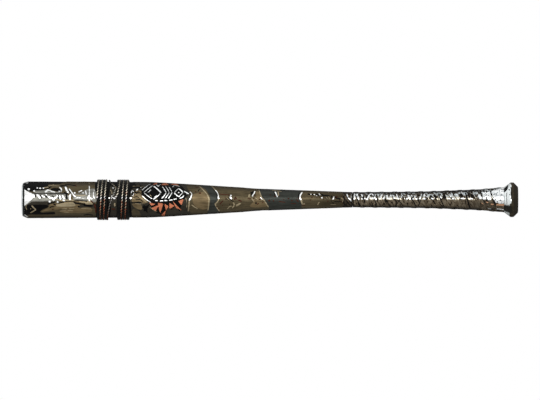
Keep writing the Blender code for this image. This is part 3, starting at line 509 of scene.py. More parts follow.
# In the same millimetres, where the painted shade along the tape's edges fades towards the knob, and where
# the darkening is taken off its bright patches.
EDGE_SHADE_FADE = (790, 815)
CLEARED_PATCHES = (800, 815)

# In millimetres, how far the strap's rubber swells up between the turns and sinks under the wire.
STRAP_SWELL = 2.1
WIRE_BITE = 0.6

# The knob's bright cone ends here and lies outside this radius in millimetres.
CONE_FOOT = -0.0150
CONE_RADIUS = 20.5

# Points round the straps and round the knob, the cap and its gasket.
STRAP_COLUMNS = 216
END_COLUMNS = 144

# The least turn of a corner that is rounded, and the most of a side that its rounding takes.
SHARP_BEND = math.radians(12)
SIDE_SHARE = 0.45

# The soft edge of the painted shade on the knob's cone, in millimetres.
CONE_SHADE_SOFTNESS = 1.6

# The camera's place along the bat, the height that it aims at, and how far it sits below the floor.
CAMERA_PLACE = -0.43167
AIM_HEIGHT = -0.000435
CAMERA_DROP = 0.05 * MM

# Depth in a layer is kept to this many millimetres either way. Chips stand proud and gouges lie deep
# across these depths, which are about a millimetre wide and centred near a mark's edge.
CLEAR = 4.0
CHIP_EDGE = (-0.5, 0.6)
CREAM_EDGE = (-0.5, 0.5)
GOUGE_EDGE = (-0.5, 0.8)

# A place up to this many millimetres under the barrel's outline still belongs to its outside.
OUTSIDE_DEPTH = 0.6

# For each layer of the paint: metallic value, roughness, how far its edge wanders and how coarsely.
PAINT_LAYERS = {
    "umber": (0.6, 0.4, 0.9 * MM, 4.5 * MM),
    "slate": (0.6, 0.36, 0.9 * MM, 4.5 * MM),
    "tan": (0.4, 0.38, 0.7 * MM, 4.5 * MM),
    "steel": (0.7, 0.36, 0.9 * MM, 4.5 * MM),
    "black": (0.0, 0.55, 0.35 * MM, 1.6 * MM),
    "cream": (0.3, 0.38, 0.35 * MM, 1.6 * MM),
    "rust": (0.0, 0.7, 0.3 * MM, 1.6 * MM),
    "red": (0.0, 0.4, 0.45 * MM, 1.6 * MM),
    "white": (0.75, 0.24, 0.5 * MM, 1.6 * MM),
}

# The back lies between these angles from the front upwards. Its random patches are layer, count,
# length and width, and its random marks are layer, count, length and half width, in millimetres,
# and both keep this far from the ends of the bare tube.
BACK_START, BACK_END = math.radians(88), math.radians(272)
BACK_MARGIN = 6.0
BACK_PATCHES = (("umber", 5, 46, 26), ("slate", 9, 60, 30), ("tan", 9, 40, 20), ("steel", 6, 18, 8),
                ("black", 5, 20, 9))
BACK_MARKS = (("black", 80, 10.0, 0.9), ("cream", 44, 14.0, 0.7), ("white", 70, 6.0, 0.6),
              ("rust", 70, 4.0, 0.8))

GRIP_LAYERS = ("fold", "copper", "shine")

# The inner solids keep their shape: name, colours, grain in metres, metallic value, roughness.
INNER_FINISHES = {
    "barrel_foam": ("Closed-cell damping foam", "#8d8671", "#5e594a", 1.6 * MM, 0.0, 0.95),
    "handle_foam": ("Closed-cell damping foam, small", "#8d8671", "#5e594a", 1.6 * MM, 0.0, 0.95),
    "knob_weld": ("As-welded aluminium bead", "#9a9a94", "#6c6b66", 2.2 * MM, 0.9, 0.38),
    "grip_underwrap": ("Thin two-sided cloth tape", "#3a362f", "#27241f", 0.9 * MM, 0.0, 0.8),
}

# The kinds of node, and their setting, that are used again and again.
MATH = "ShaderNodeMath"
VECTOR_MATH = "ShaderNodeVectorMath"
MAP_RANGE = "ShaderNodeMapRange"
NOISE = "ShaderNodeTexNoise"
STORED = "ShaderNodeAttribute"
STORED_ON_POINTS = "GeometryNodeInputNamedAttribute"
SMOOTH = {"interpolation_type": "SMOOTHSTEP"}

# Real grit, drawn lines and paper fibres are under half a millimetre wide, which is too fine to show,
# so the materials below draw each as coarse as it needs to show.


def srgb(code):
    """The linear colour, with full opacity, of an sRGB hex code such as "#5b5238"."""
    parts = [int(code[place:place + 2], 16) / 255 for place in (1, 3, 5)]
    linear = [part / 12.92 if part <= 0.04045 else ((part + 0.055) / 1.055) ** 2.4 for part in parts]
    return (*linear, 1.0)


def colour(name, description, code):
    """A colour setting with its sRGB default."""
    return FloatVectorProperty(name=name, description=description, subtype="COLOR", size=4, min=0, max=1,
                               default=srgb(code))


def length(name, description, default):
    """A length setting."""
    return FloatProperty(name=name, description=description, default=default, unit="LENGTH")


class PaintSettings(bpy.types.PropertyGroup):
    """Colours of the paint and of what shows through it."""
    khaki: colour("Khaki", "The enamel under the patches", "#534a37")
    umber: colour("Umber", "The dark brown patches", "#36332c")
    slate: colour("Slate", "The dark grey patches", "#363834")
    tan: colour("Tan", "The light brown patches", "#746449")
    steel: colour("Bare metal", "The scraped aluminium", "#77766f")
    # Also the colour of the painted shade along the top and the underside and of the painted shadows beside
    # the straps.
    black: colour("Grime", "Gouges and grime", "#050505")
    cream: colour("Cream", "The worn edges of the patches", "#a5977a")
    rust: colour("Rust", "Rust carried over from the wires", "#4a2418")
    red: colour("Red", "The red-brown of the painted design", "#e28a66")
    # Also painted as highlights on the tip's bare metal, its chips and ridge edges.
    white: colour("Bright chips", "Chips that catch the light", "#f4f6f4")
    mottle: length("Mottling", "Size of the cloudy variation in the enamel", 14 * MM)
    scratch: length("Scratch spacing", "Spacing of the fine drawn scratches", 1.6 * MM)


class SkinSettings(bpy.types.PropertyGroup):
    """Sizes of the barrel's skin."""
    row: length("Row spacing", "Distance between the rings of the skin", 1.2 * MM)
    columns: IntProperty(name="Columns", description="Points round the skin", default=184, min=24)
    dent_size: length("Dent size", "Width of the shallow dents", 17 * MM)
    dent_depth: length("Dent depth", "Depth of the shallow dents", 0.16 * MM)
    proud: length("Chip height", "How far a paint edge stands proud", 0.22 * MM)
    sunk: length("Gouge depth", "How deep a gouge goes", 0.35 * MM)
    seed: IntProperty(name="Seed", description="Choice of the random wear round the back", default=7)


class WireSettings(bpy.types.PropertyGroup):
    """Sizes and colours of the twisted wire."""
    lay: length("Lay length", "Length of one full twist of the two strands", 10.4 * MM)
    seen: length("Seen diameter", "Width of the two strands together", 3.0 * MM)
    step: length("Step", "Spacing of the rings along a strand", 0.8 * MM)
    scale_grey: colour("Mill scale", "The wire's grey and cream skin", "#eee6d0")
    # The colour of the painted shade on the wire's lower side.
    lower_shade: colour("Dulled scale", "The mill scale low on the bat", "#958a6e")
    # The colour of the painted highlight along the front.
    rubbed: colour("Rubbed wire", "The crests rubbed bright along the front", "#ffffff")
    rust: colour("Rust", "The wire's red rust", "#c06a4c")
    bare: colour("Bare wire", "The loose ends, rubbed to bare steel", "#5f676a")
    # Also the colour of the painted shade in the lay and on the wire's top and bottom.
    dark: colour("Old oil", "The dark film between the strands", "#15130f")


class GripSettings(bpy.types.PropertyGroup):
    """Sizes and colours of the lapped tape."""
    row: length("Row spacing", "Distance between the rings of the tape", 0.95 * MM)
    columns: IntProperty(name="Columns", description="Points round the tape", default=144, min=24)
    crinkle_depth: length("Crinkle depth", "Height of the small folds", 0.5 * MM)
    crinkle_width: length("Crinkle width", "Width of the small folds", 3.0 * MM)
    taupe: colour("Tape", "The tape's own brown", "#635746")
    # Silver and warm are the colours of the sheen painted on the top half.
    silver: colour("Polished tape", "Where hands have polished the film", "#cfdade")
    warm: colour("Warm film", "Polished film that has yellowed, lower down", "#e9dfc6")
    bright: colour("Bare film", "The brightest patches of the film", "#f7f9f9")
    cool: colour("Creased film", "Blue-grey creases in the bright film", "#8b9aa1")
    # Also the colour of the painted shade in the film's lows and along the tape's edges.
    fold: colour("Fold", "Dirt in the folds", "#0b0907")
    copper: colour("Cloth", "The copper-coloured cloth under the film", "#ffc59c")


class StudioSettings(bpy.types.PropertyGroup):
    """The floor, the lamps and the camera."""
    distance: length("Camera distance", "From the camera to the bat", 16.0)
    view_width: length("View width", "Width of the view at the bat", 0.93992)
    panel_distance: length("Panel distance", "From the soft panels to the bat", 2.4)
    panel_width: length("Panel width", "Width of the soft panels", 5.0)
    front_radiance: FloatProperty(name="Front panel", default=3.2,
                                  description="Brightness of the strip light in front")
    fill_radiance: FloatProperty(name="Fill panels", default=0.4,
                                 description="Brightness of the panels overhead and behind")
    ambient: FloatProperty(name="Ambient", description="Brightness of the room", default=0.2)
    paper_glow: FloatProperty(name="Paper", default=0.5,
                              description="How far the seen floor is lifted towards white")
    floor_radius: length("Floor radius", "Radius of the pale floor", 3.0)
    floor: colour("Floor", "The pale floor", "#d8d8d5")


def node_adder(tree):
    """The function that adds a node to this tree and returns the node's outputs. Inputs are values or
    the sockets to take them from: the first ones in the node's own order, others by name in a dict,
    and a list of sockets where one input takes several."""

    def add(kind, *inputs, **settings):
        made = tree.nodes.new(kind)
        for name, value in settings.items():
            setattr(made, name, value)
        named = {}
        for place, given in enumerate(inputs):
            named.update(given if isinstance(given, dict) else {place: given})
        for name, value in named.items():
            for source in value if isinstance(value, list) else [value]:
                if isinstance(source, bpy.types.NodeSocket):
                    tree.links.new(source, made.inputs[name])
                else:
                    made.inputs[name].default_value = source
        return made.outputs

    return add


def new_material(name, **constants):
    """A material with constants set on its shader, its node adder and its Object coordinates."""
    material = bpy.data.materials.new(name)
    material.use_nodes = True
    for socket, value in constants.items():
        shader_of(material).inputs[socket.replace("_", " ")].default_value = value
    add = node_adder(material.node_tree)
    return material, add, add("ShaderNodeTexCoord")["Object"]


def shader_of(material):
    """The material's Principled shader."""
    return next(item for item in material.node_tree.nodes if item.type == "BSDF_PRINCIPLED")


def finished(material, sources, grain=None, strength=0.0, depth=0.0):
    """The material with these sources linked to its shader, and with a fine relief where a grain is
    given."""
    tree = material.node_tree
    if grain is not None:
        relief = {"Height": grain, "Strength": strength, "Distance": depth}
        sources["Normal"] = node_adder(tree)("ShaderNodeBump", relief)[0]
    for socket, source in sources.items():
        tree.links.new(source, shader_of(material).inputs[socket])
    return material


def layered(add, base, *coats):
    """The base colour with each (mask, colour) coat laid over it in turn."""
    for mask, above in coats:
        base = add("ShaderNodeMixRGB", mask, base, above)[0]
    return base


def edge_mask(add, place, layer, reach, size=1.7 * MM, soft=0.16):
    """1 inside a stored layer and 0 outside, with an edge that wanders by the reach in metres."""
    depth = add(STORED, attribute_name=layer)["Fac"]
    wander = add(NOISE, place, {"Scale": 1 / size, "Detail": 3.0, "Roughness": 0.6})[0]
    middle = reach / MM
    shift = add(MATH, wander, 2 * reach / MM, depth, operation="MULTIPLY_ADD")[0]
    return add(MAP_RANGE, shift, {"From Min": middle - soft, "From Max": middle + soft}, **SMOOTH)[0]


def shine(metallic, roughness):
    """A finish written as a colour, so that it can be mixed like one."""
    return (metallic, roughness, 0.0, 1.0)


def coated(add, place, tint, finish, layers):
    """The tint, the metallic value and the roughness of a surface with its stored layers laid over it
    in turn. A layer is its colour, its finish and the reach and size of its edge."""
    for layer, (paint, above, edge) in layers.items():
        mask = edge_mask(add, place, layer, *edge)
        tint = layered(add, tint, (mask, paint))
        finish = layered(add, finish, (mask, above))
    values = add("ShaderNodeSeparateColor", finish)
    return tint, values["Red"], values["Green"]


def gloss(add, metallic, roughness):
    """The sources of the gloss, which goes matt where the surface turns away, as dust leaves it."""
    facing = add("ShaderNodeLayerWeight", {"Blend": 0.5})["Facing"]
    dusty = add(MAP_RANGE, facing, {"From Min": 0.3, "From Max": 0.75}, **SMOOTH)[0]
    clean = {"Metallic": (metallic, 0.0), "Roughness": (roughness, 0.9)}
    return {name: add("ShaderNodeMix", {"Factor": dusty, "A": value, "B": dust})[0]
            for name, (value, dust) in clean.items()}


def away(add, value, centre):
    """How far a coordinate lies from this place, either way."""
    shifted = add(MATH, value, centre, operation="SUBTRACT")[0]
    return add(MATH, shifted, operation="ABSOLUTE")[0]


def smooth_line(places, closed, steps=4):
    """A smooth line through the places, with this many steps from each to the next."""
    places = np.array(places, float)
    count = len(places)
    if count < 3:
        return places
    line = []
    for span in range(count if closed else count - 1):
        around = [span + shift for shift in (-1, 0, 1, 2)]
        picks = [index % count if closed else min(max(index, 0), count - 1) for index in around]
        a, b, c, d = (places[pick] for pick in picks)
        for step in range(steps):
            t = step / steps
            line.append(0.5 * (2 * b + (c - a) * t + (2 * a - 5 * b + 4 * c - d) * t * t
                               + (3 * b - a - 3 * c + d) * t ** 3))
    if not closed:
        line.append(places[-1])
    return np.array(line)


def section(name):
    """The outline of a turned solid of the frame, cut along its front: (along, radius) places in
    order, and whether it closes on itself."""
    shape = bmesh.new()
    shape.from_mesh(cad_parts[name].data)
    bmesh.ops.remove_doubles(shape, verts=shape.verts, dist=MERGE)
    whole = shape.verts[:] + shape.edges[:] + shape.faces[:]
    bmesh.ops.bisect_plane(shape, geom=whole, dist=SLIVER, plane_co=(0, 0, 0), plane_no=(0, 1, 0),
                           clear_outer=True)
    whole = shape.verts[:] + shape.edges[:] + shape.faces[:]
    cut = bmesh.ops.bisect_plane(shape, geom=whole, dist=SLIVER, plane_co=(0, 0, SLICE),
                                 plane_no=(0, 0, 1))
    links = {}
    for item in cut["geom_cut"]:
        if isinstance(item, bmesh.types.BMEdge):
            for vert in item.verts:
                links.setdefault(vert, []).append(item.other_vert(vert))
    ends = [vert for vert, others in links.items() if len(others) == 1]
    chain = [ends[0] if ends else next(iter(links))]
    while True:
        ahead = [vert for vert in links[chain[-1]] if vert not in chain[-3:] and vert != chain[0]]
        if not ahead:
            break
        chain.append(ahead[0])
    places = [(-vert.co.x, max(-vert.co.y, 0.0)) for vert in chain]
    shape.free()
    return straightened(places, not ends), not ends


def straightened(places, closed):
    """The outline without the places that lie on a straight run, wound so its outer side goes from
    the knob to the tip."""
    kept = []
    count = len(places)
    for index, here in enumerate(places):
        before = places[index - 1] if closed or index else here
        after = places[(index + 1) % count] if closed or index < count - 1 else here
        turn = (here[0] - before[0]) * (after[1] - here[1]) - (here[1] - before[1]) * (after[0] - here[0])
        if before is here or after is here or abs(turn) > STRAIGHT:
            kept.append(here)
    area = sum(a[0] * b[1] - b[0] * a[1] for a, b in zip(kept, kept[1:] + kept[:1]))
    return kept if area < 0 else kept[::-1]


def outer_side(name):
    """The rising part of a solid's outline: its outside, from the knob to the mouth."""
    places, _ = section(name)
    pairs = zip(places, places[1:] + places[:1])
    return np.array(sorted({place for a, b in pairs if b[0] > a[0] + SLIVER for place in (a, b)}))


OUTER = outer_side("barrel_shell")


def outer_radius(along):
    """The barrel's outside radius in metres at distances from the knob's end."""
    return np.interp(along, OUTER[:, 0], OUTER[:, 1])


def eased(places, closed, reach, steps=3):
    """The outline with its sharp corners rounded, each by at most this reach along its sides."""
    points = [np.array(place) for place in places]
    line = []
    for index, corner in enumerate(points):
        if not closed and index in (0, len(points) - 1):
            line.append(corner)
            continue
        back = points[index - 1] - corner
        ahead = points[(index + 1) % len(points)] - corner
        lengths = [np.linalg.norm(back), np.linalg.norm(ahead)]
        bend = math.pi - math.acos(np.clip(back @ ahead / (lengths[0] * lengths[1]), -1, 1))
        if bend < SHARP_BEND:
            line.append(corner)
            continue
        cut = min(reach, SIDE_SHARE * lengths[0], SIDE_SHARE * lengths[1])
        first = corner + back / lengths[0] * cut
        last = corner + ahead / lengths[1] * cut
        for t in np.linspace(0, 1, steps + 1):
            line.append(first * (1 - t) ** 2 + 2 * corner * t * (1 - t) + last * t * t)
    return [tuple(place) for place in line]


def divided(places, closed, span, wanted=lambda a, b: True):
    """The outline with its wanted runs divided into steps of about this length."""
    line = []
    pairs = list(zip(places, places[1:] + places[:1])) if closed else list(zip(places, places[1:]))
    for a, b in pairs:
        steps = max(1, round(math.dist(a, b) / span)) if wanted(a, b) else 1
        line += [(a[0] + (b[0] - a[0]) * step / steps, a[1] + (b[1] - a[1]) * step / steps)
                 for step in range(steps)]
    return line if closed else line + [places[-1]]


def smoothed(values, width):
    """The values averaged over this odd number of neighbours."""
    kernel = np.hanning(width)
    return np.convolve(np.pad(values, width // 2, mode="edge"), kernel / kernel.sum(), "valid")


def turned(name, rows, closed, columns):
    """A mesh object turned round the bat's axis from (along, radius) rows. An open outline starts
    and ends on the axis. Points are in ring order, the first ring first."""
    angles = np.arange(columns) * math.tau / columns
    along, radius = np.array(rows).T
    rings = np.stack((np.repeat(-along[:, None], columns, 1), -radius[:, None] * np.cos(angles),
                      radius[:, None] * np.sin(angles)), 2)
    if not closed:
        rings = rings[1:-1]
    points = rings.reshape(-1, 3)
    count = len(rings)
    around = np.arange(columns)
    nexts = (around + 1) % columns
    faces = []
    for row in range(count if closed else count - 1):
        a = row * columns
        b = (row + 1) % count * columns
        faces += np.stack((a + around, a + nexts, b + nexts, b + around), 1).tolist()
    if not closed:
        first, last = len(points), len(points) + 1
        points = np.vstack((points, [(-along[0], 0, 0), (-along[-1], 0, 0)]))
        end = (count - 1) * columns
        faces += [(first, int(j), int(i)) for i, j in zip(around, nexts)]
        faces += [(last, int(end + i), int(end + j)) for i, j in zip(around, nexts)]
    return mesh_object(name, points.tolist(), faces)


def mesh_object(name, points, faces, edges=()):
    """A linked mesh object whose faces point outwards."""
    mesh = bpy.data.meshes.new(name)
    mesh.from_pydata(points, list(edges), faces)
    if faces:
        shape = bmesh.new()
        shape.from_mesh(mesh)
        bmesh.ops.recalc_face_normals(shape, faces=shape.faces)
        shape.to_mesh(mesh)
        shape.free()
    piece = bpy.data.objects.new(name, mesh)
    bpy.context.scene.collection.objects.link(piece)
    return piece


def copied(title, source, columns, reach, span):
    """The piece turned again from the outline of its solid, in short steps and with its corners
    rounded."""
    places, closed = section(source)
    if reach:
        places = eased(places, closed, reach)
    return turned(title, divided(places, closed, span), closed, columns)


def store(piece, **fields):
    """Keeps one number for each point of the piece under each of these names."""
    for name, values in fields.items():
        attribute = piece.data.attributes.new(name, "FLOAT", "POINT")
        attribute.data.foreach_set("value", np.asarray(values, np.float32))


def surface_places(piece):
    """For each point: millimetres from the tip, the angle from the front upwards, and the radius
    in millimetres."""
    places = np.empty(len(piece.data.vertices) * 3, np.float32)
    piece.data.vertices.foreach_get("co", places)
    x, y, z = places.reshape(-1, 3).T.astype(float)
    return (x - TIP) / MM, np.arctan2(z, -y), np.hypot(y, z) / MM


def seen_angle(height, radius):
    """The angle of a place seen at this height; beyond the radius it goes on round the back."""
    share = abs(height) / radius
    over = max(share - 1, 0)
    return math.copysign(math.asin(min(share, 1)) + over * math.pi / 2, height)


def segment_depths(line, closed, u, v):
    """The distance from each point to a line of places."""
    nearest = np.full(u.shape, np.inf)
    ends = np.roll(line, -1, 0) if closed else line[1:]
    for (ax, ay), (bx, by) in zip(line, ends):
        dx, dy = bx - ax, by - ay
        share = np.clip(((u - ax) * dx + (v - ay) * dy) / max(dx * dx + dy * dy, 1e-9), 0, 1)
        nearest = np.minimum(nearest, np.hypot(u - ax - share * dx, v - ay - share * dy))
    return nearest


def inside(line, u, v):
    """Whether each point lies inside a closed line."""
    held = np.zeros(u.shape, bool)
    for (ax, ay), (bx, by) in zip(line, np.roll(line, -1, 0)):
        crosses = (ay > v) != (by > v)
        held ^= crosses & (u < ax + (v - ay) * (bx - ax) / (by - ay if by != ay else 1))
    return held


def add_mark(field, surface, places, half):
    """Raises a layer's depth field by one mark, whose places are (from the tip, angle). Without a
    half width the mark is a closed patch; one of three places is a shard with straight sides."""
    far, angle, radius = surface
    places = np.array(places, float)
    reach = CLEAR + (half or 0)
    near = np.flatnonzero((far > places[:, 0].min() - reach) & (far < places[:, 0].max() + reach))
    if not len(near):
        return
    middle = places[:, 1].mean()
    local = radius[near].mean()
    turn = (angle[near] - middle + math.pi) % math.tau - math.pi
    flat = np.stack((places[:, 0], (places[:, 1] - middle) * local), 1)
    u, v = far[near], turn * local
    if half is None:
        line = flat if len(flat) == 3 else smooth_line(flat, True)
        distance = segment_depths(line, True, u, v)
        depth = np.where(inside(line, u, v), distance, -distance)
    elif len(flat) == 1:
        depth = half - np.hypot(u - flat[0, 0], v - flat[0, 1])
    else:
        depth = half - segment_depths(smooth_line(flat, False), False, u, v)
    field[near] = np.maximum(field[near], np.minimum(depth, CLEAR))


def outline_of(surface):
    """The piece's outer radius in millimetres at places two millimetres apart."""
    far, _, radius = surface
    slots = np.round((far - far.min()) / 2).astype(int)
    widest = np.zeros(slots.max() + 1)
    np.maximum.at(widest, slots, radius)
    return far.min() + 2 * np.flatnonzero(widest), widest[widest > 0]


def depth_fields(piece, layers, strokes, patches=None):
    """The depth in millimetres of each point inside each layer's marks, and below zero outside."""
    surface = surface_places(piece)
    fields = {layer: np.full(len(surface[0]), -CLEAR) for layer in layers}
    width = outline_of(surface)
    for table, is_stroke in ((strokes, True), (patches or {}, False)):
        for layer, marks in table.items():
            for mark in marks:
                half = mark[0] if is_stroke else None
                places = mark[1:] if is_stroke else mark
                seen = [(far, seen_angle(height, np.interp(far, *width))) for far, height in places]
                add_mark(fields[layer], surface, seen, half)
    return fields


def rise(values, low, high):
    """A smooth step from 0 to 1 between low and high."""
    share = np.clip((values - low) / (high - low), 0, 1)
    return share * share * (3 - 2 * share)


def geometry_group(name, sizes):
    """A new geometry tree with a named input for each size, its node adder and the inputs' sockets."""
    tree = bpy.data.node_groups.new(name, "GeometryNodeTree")
    tree.interface.new_socket(name="Geometry", in_out="INPUT", socket_type="NodeSocketGeometry")
    for title, size in sizes.items():
        kind = "NodeSocketInt" if isinstance(size, int) else "NodeSocketFloat"
        tree.interface.new_socket(name=title, in_out="INPUT", socket_type=kind)
    tree.interface.new_socket(name="Geometry", in_out="OUTPUT", socket_type="NodeSocketGeometry")
    add = node_adder(tree)
    return tree, add, add("NodeGroupInput")


def end_group(add, geometry, material):
    """Ends a geometry tree: smooth faces, real geometry and the material."""
    smooth = add("GeometryNodeSetShadeSmooth", geometry)[0]
    real = add("GeometryNodeRealizeInstances", smooth)[0]
    add("NodeGroupOutput", add("GeometryNodeSetMaterial", real, {"Material": material})[0])


def run_group(piece, tree, sizes):
    """Runs a geometry tree on the piece and keeps the result as its plain mesh."""
    modifier = piece.modifiers.new(tree.name, "NODES")
    modifier.node_group = tree
    for item in tree.interface.items_tree:
        if item.in_out == "INPUT" and item.name in sizes:
            modifier[item.identifier] = sizes[item.name]
    graph = bpy.context.evaluated_depsgraph_get()
    mesh = bpy.data.meshes.new_from_object(piece.evaluated_get(graph))
    piece.modifiers.remove(modifier)
    piece.data = mesh
    if not len(mesh.polygons):
        raise RuntimeError(f"{piece.name} came out empty")


def hand_over(piece, slot, *nodes):
    """Gives the piece its body and hides the solids that it stands for. The slot is not used."""
    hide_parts(*nodes)
    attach(piece, "root")


def dent(piece, material, size, depth, seed):
    """Moves a surface along its normal by its stored relief and by shallow noise dents."""
    sizes = {"Dent Size": size, "Dent Depth": depth, "Seed": seed}
    tree, add, source = geometry_group("Dented surface", sizes)
    scale = add(MATH, 1.0, source["Dent Size"], operation="DIVIDE")[0]
    noise = add(NOISE, add("GeometryNodeInputPosition")[0],
                {"W": source["Seed"], "Scale": scale, "Detail": 2.0}, noise_dimensions="4D")[0]
    centred = add(MATH, noise, 0.5, operation="SUBTRACT")[0]
    deep = add(MATH, centred, source["Dent Depth"], operation="MULTIPLY")[0]
    dented = add(MATH, deep, add(STORED_ON_POINTS, "free")[0], operation="MULTIPLY")[0]
    shift = add(MATH, dented, add(STORED_ON_POINTS, "relief")[0], operation="ADD")[0]
    offset = add(VECTOR_MATH, add("GeometryNodeInputNormal")[0], {"Scale": shift}, operation="SCALE")[0]
    moved = add("GeometryNodeSetPosition", source["Geometry"], {"Offset": offset})[0]
    end_group(add, moved, material)
    run_group(piece, tree, sizes)


def worn_enamel(paint):
    """Sprayed enamel on drawn aluminium: a thin gloss with drawn lines along the bat, chipped to
    bright metal and rubbed to cream at the edges of its patches."""
    material, add, place = new_material("Sprayed enamel on drawn aluminium", Specular_IOR_Level=0.06)
    cloud = add(NOISE, place, {"Scale": 1 / paint.mottle, "Detail": 5.0, "Roughness": 0.62})[0]
    lengthwise = add("ShaderNodeMapping", place, {"Scale": (0.05, 1.0, 1.0)})[0]
    drawn = add(NOISE, lengthwise, {"Scale": 1 / paint.scratch, "Detail": 4.0})[0]
    tone = add(MATH, cloud, 0.6, drawn, operation="MULTIPLY_ADD")[0]
    shade = add(MAP_RANGE, tone, {"From Min": 0.55, "From Max": 1.05, "To Min": 0.6, "To Max": 1.38})[0]
    layers = {name: (getattr(paint, name), shine(metallic, rough), edge)
              for name, (metallic, rough, *edge) in PAINT_LAYERS.items()}
    tint, metallic, rough = coated(add, place, paint.khaki, shine(0.6, 0.38), layers)
    toned = add(VECTOR_MATH, tint, {"Scale": shade}, operation="SCALE")[0]
    # The stored dirt and shade darkens the enamel towards black: dirt by the grip, and painted shade along
    # the top and the underside.
    grime = add(STORED, attribute_name="grime")["Fac"]
    patchy = add(MATH, grime, cloud, operation="MULTIPLY")[0]
    dirtied_and_shaded = layered(add, toned, (patchy, paint.black))
    grain = add(NOISE, lengthwise, {"Scale": 1 / (0.7 * MM), "Detail": 3.0})[0]
    sources = {"Base Color": dirtied_and_shaded, **gloss(add, metallic, rough)}
    return finished(material, sources, grain, 0.35, 0.06 * MM)


def barrel_rows(settings):
    """The barrel's closed outline, with close rows along the bare outside."""
    places, closed = section("barrel_shell")
    places = eased(places, closed, 0.6 * MM, 2)

    def bare(a, b):
        """Whether this run of the outline is part of the bare outside."""
        return b[0] > a[0] and min(a[0], b[0]) > BARE_FOOT - MM

    rows = divided(places, closed, settings.row, bare)
    outer = [index for index in range(len(rows) - 1) if bare(rows[index], rows[index + 1])]
    first, last = outer[0], outer[-1]
    along, radius = np.array(rows[first:last]).T
    # Its steps are smoothed away, except by the collar and the mouth, where it keeps its edges.
    ends = rise(along, BARE_FOOT + 0.004, BARE_FOOT + 0.012) * rise(-along, -MOUTH + 0.008, -MOUTH + 0.02)
    radius = radius + (smoothed(radius, 13) - radius) * ends
    rows[first:last] = list(zip(along, radius))
    return rows, closed


def scatter_marks(fields, surface, seed):
    """Seeded wear of the same kinds round the sides and the back, where the picture doesn't reach."""
    rng = np.random.default_rng(seed)
    farthest = (-TIP - BARE_FOOT) / MM - BACK_MARGIN

    def random_place():
        """A place on the back, and the barrel's radius there in millimetres."""
        centre = rng.uniform(BACK_MARGIN, farthest)
        round_at = rng.uniform(BACK_START, BACK_END)
        return centre, round_at, float(outer_radius(-TIP - centre * MM)) / MM

    for layer, count, span, width in BACK_PATCHES:
        for _ in range(count):
            centre, round_at, local = random_place()
            outline = []
            for turn in np.arange(9) * math.tau / 9:
                swell = rng.uniform(0.65, 1.25) / 2
                outline.append((centre + span * swell * math.cos(turn),
                                round_at + width * swell * math.sin(turn) / local))
            add_mark(fields[layer], surface, outline, None)
    for layer, count, span, half in BACK_MARKS:
        for _ in range(count):
            centre, round_at, local = random_place()
            heading = rng.uniform(0, math.tau)
            places = []
            for _ in range(int(rng.integers(2, 5))):
                places.append((centre, round_at))
                heading += rng.uniform(-0.9, 0.9)
                stride = span / 2 * rng.uniform(0.4, 1.0)
                centre += stride * math.cos(heading)
                round_at += stride * math.sin(heading) / local
            add_mark(fields[layer], surface, places, half * rng.uniform(0.6, 1.3))


def free_of_wire(far):
    """1 where the skin may move, and 0 under the wire bands."""
    clear = np.ones(far.shape)
    for name in BANDS:
        low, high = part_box(name)
        start, end = (low.x - TIP) / MM, (high.x - TIP) / MM
        clear = np.minimum(clear, np.maximum(rise(start - far, -1, 3), rise(far - end, -1, 3)))
    return clear


def make_barrel(context):
    """The tube's skin: turned from the solid's outline, marked, dented and painted."""
    skin = context.scene.bat_skin
    rows, closed = barrel_rows(skin)
    piece = turned("painted_barrel", rows, closed, skin.columns)
    far, angle, radius = surface = surface_places(piece)
    fields = depth_fields(piece, PAINT_LAYERS, STROKES, PATCHES)
    scatter_marks(fields, surface, skin.seed)
    outside = radius > outer_radius(-(far * MM + TIP)) / MM - OUTSIDE_DEPTH
    free = free_of_wire(far) * outside
    raised = np.maximum(rise(fields["white"], *CHIP_EDGE), 0.8 * rise(fields["cream"], *CREAM_EDGE))
    sunk = rise(fields["black"], *GOUGE_EDGE) * (1 - raised)
    # Painted shade along the top and the underside, where the sides turn away; real dirt by the grip is
    # added to it.
    edges = 0.95 * np.maximum(rise(np.sin(angle), 0.6, 0.95), rise(-np.sin(angle), 0.76, 1.0))
    start, end, depth = BARREL_DIRT
    grime = np.maximum(edges, depth * rise(far, start, end))
    store(piece, relief=(skin.proud * raised - skin.sunk * sunk) * free, free=free, grime=grime, **fields)
    dent(piece, worn_enamel(context.scene.bat_paint), skin.dent_size, 2 * skin.dent_depth, skin.seed)
    hand_over(piece, "tube_metal", "barrel_shell")


def strap_lift(along):
    """How far the straps raise the wire, which falls to the skin once it is clear of a strap's edge."""
    lift = 0.0
    for band in BANDS.values():
        low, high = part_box(band["strap"])
        past = max(along + low.x, -high.x - along) - WIRE_DIAMETER / 2 - FIT
        lift = max(lift, 1 - float(rise(past, 0.0, STRAP_FALL)))
    return lift * (FIT + STRAP_THICKNESS)


def wire_point(along, angle, seen):
    """The centre of a wire this wide, which bites into the strap and stands no higher than its solid."""
    centre = float(outer_radius(along)) + strap_lift(along) + FIT + WIRE_DIAMETER - seen / 2
    return (-along, -centre * math.cos(angle), centre * math.sin(angle))


def front_advance(angle):
    """The pitches stepped since the first row's top: most of each on the front, the rest behind."""
    turns = np.floor((angle + math.pi / 2) / math.tau)
    rest = (angle + math.pi / 2) / math.tau - turns
    share = np.minimum(2 * rest, 1.0) ** STEP_LATENESS
    behind = np.maximum(2 * rest - 1.0, 0.0)
    return turns + FRONT_SHARE * (rise(share, 0.0, 1.0) - 1) + (1 - FRONT_SHARE) * behind


def loose_end(wound, steps):
    """The places of an end that leaves the wound rows by (towards the grip, degrees round) steps."""
    line = [wound]
    for advance, turn in steps:
        along, angle = line[-1]
        line.append((along - advance, angle + math.radians(turn)))
    return [tuple(place) for place in smooth_line(line, False, 2)[1:]] if steps else []


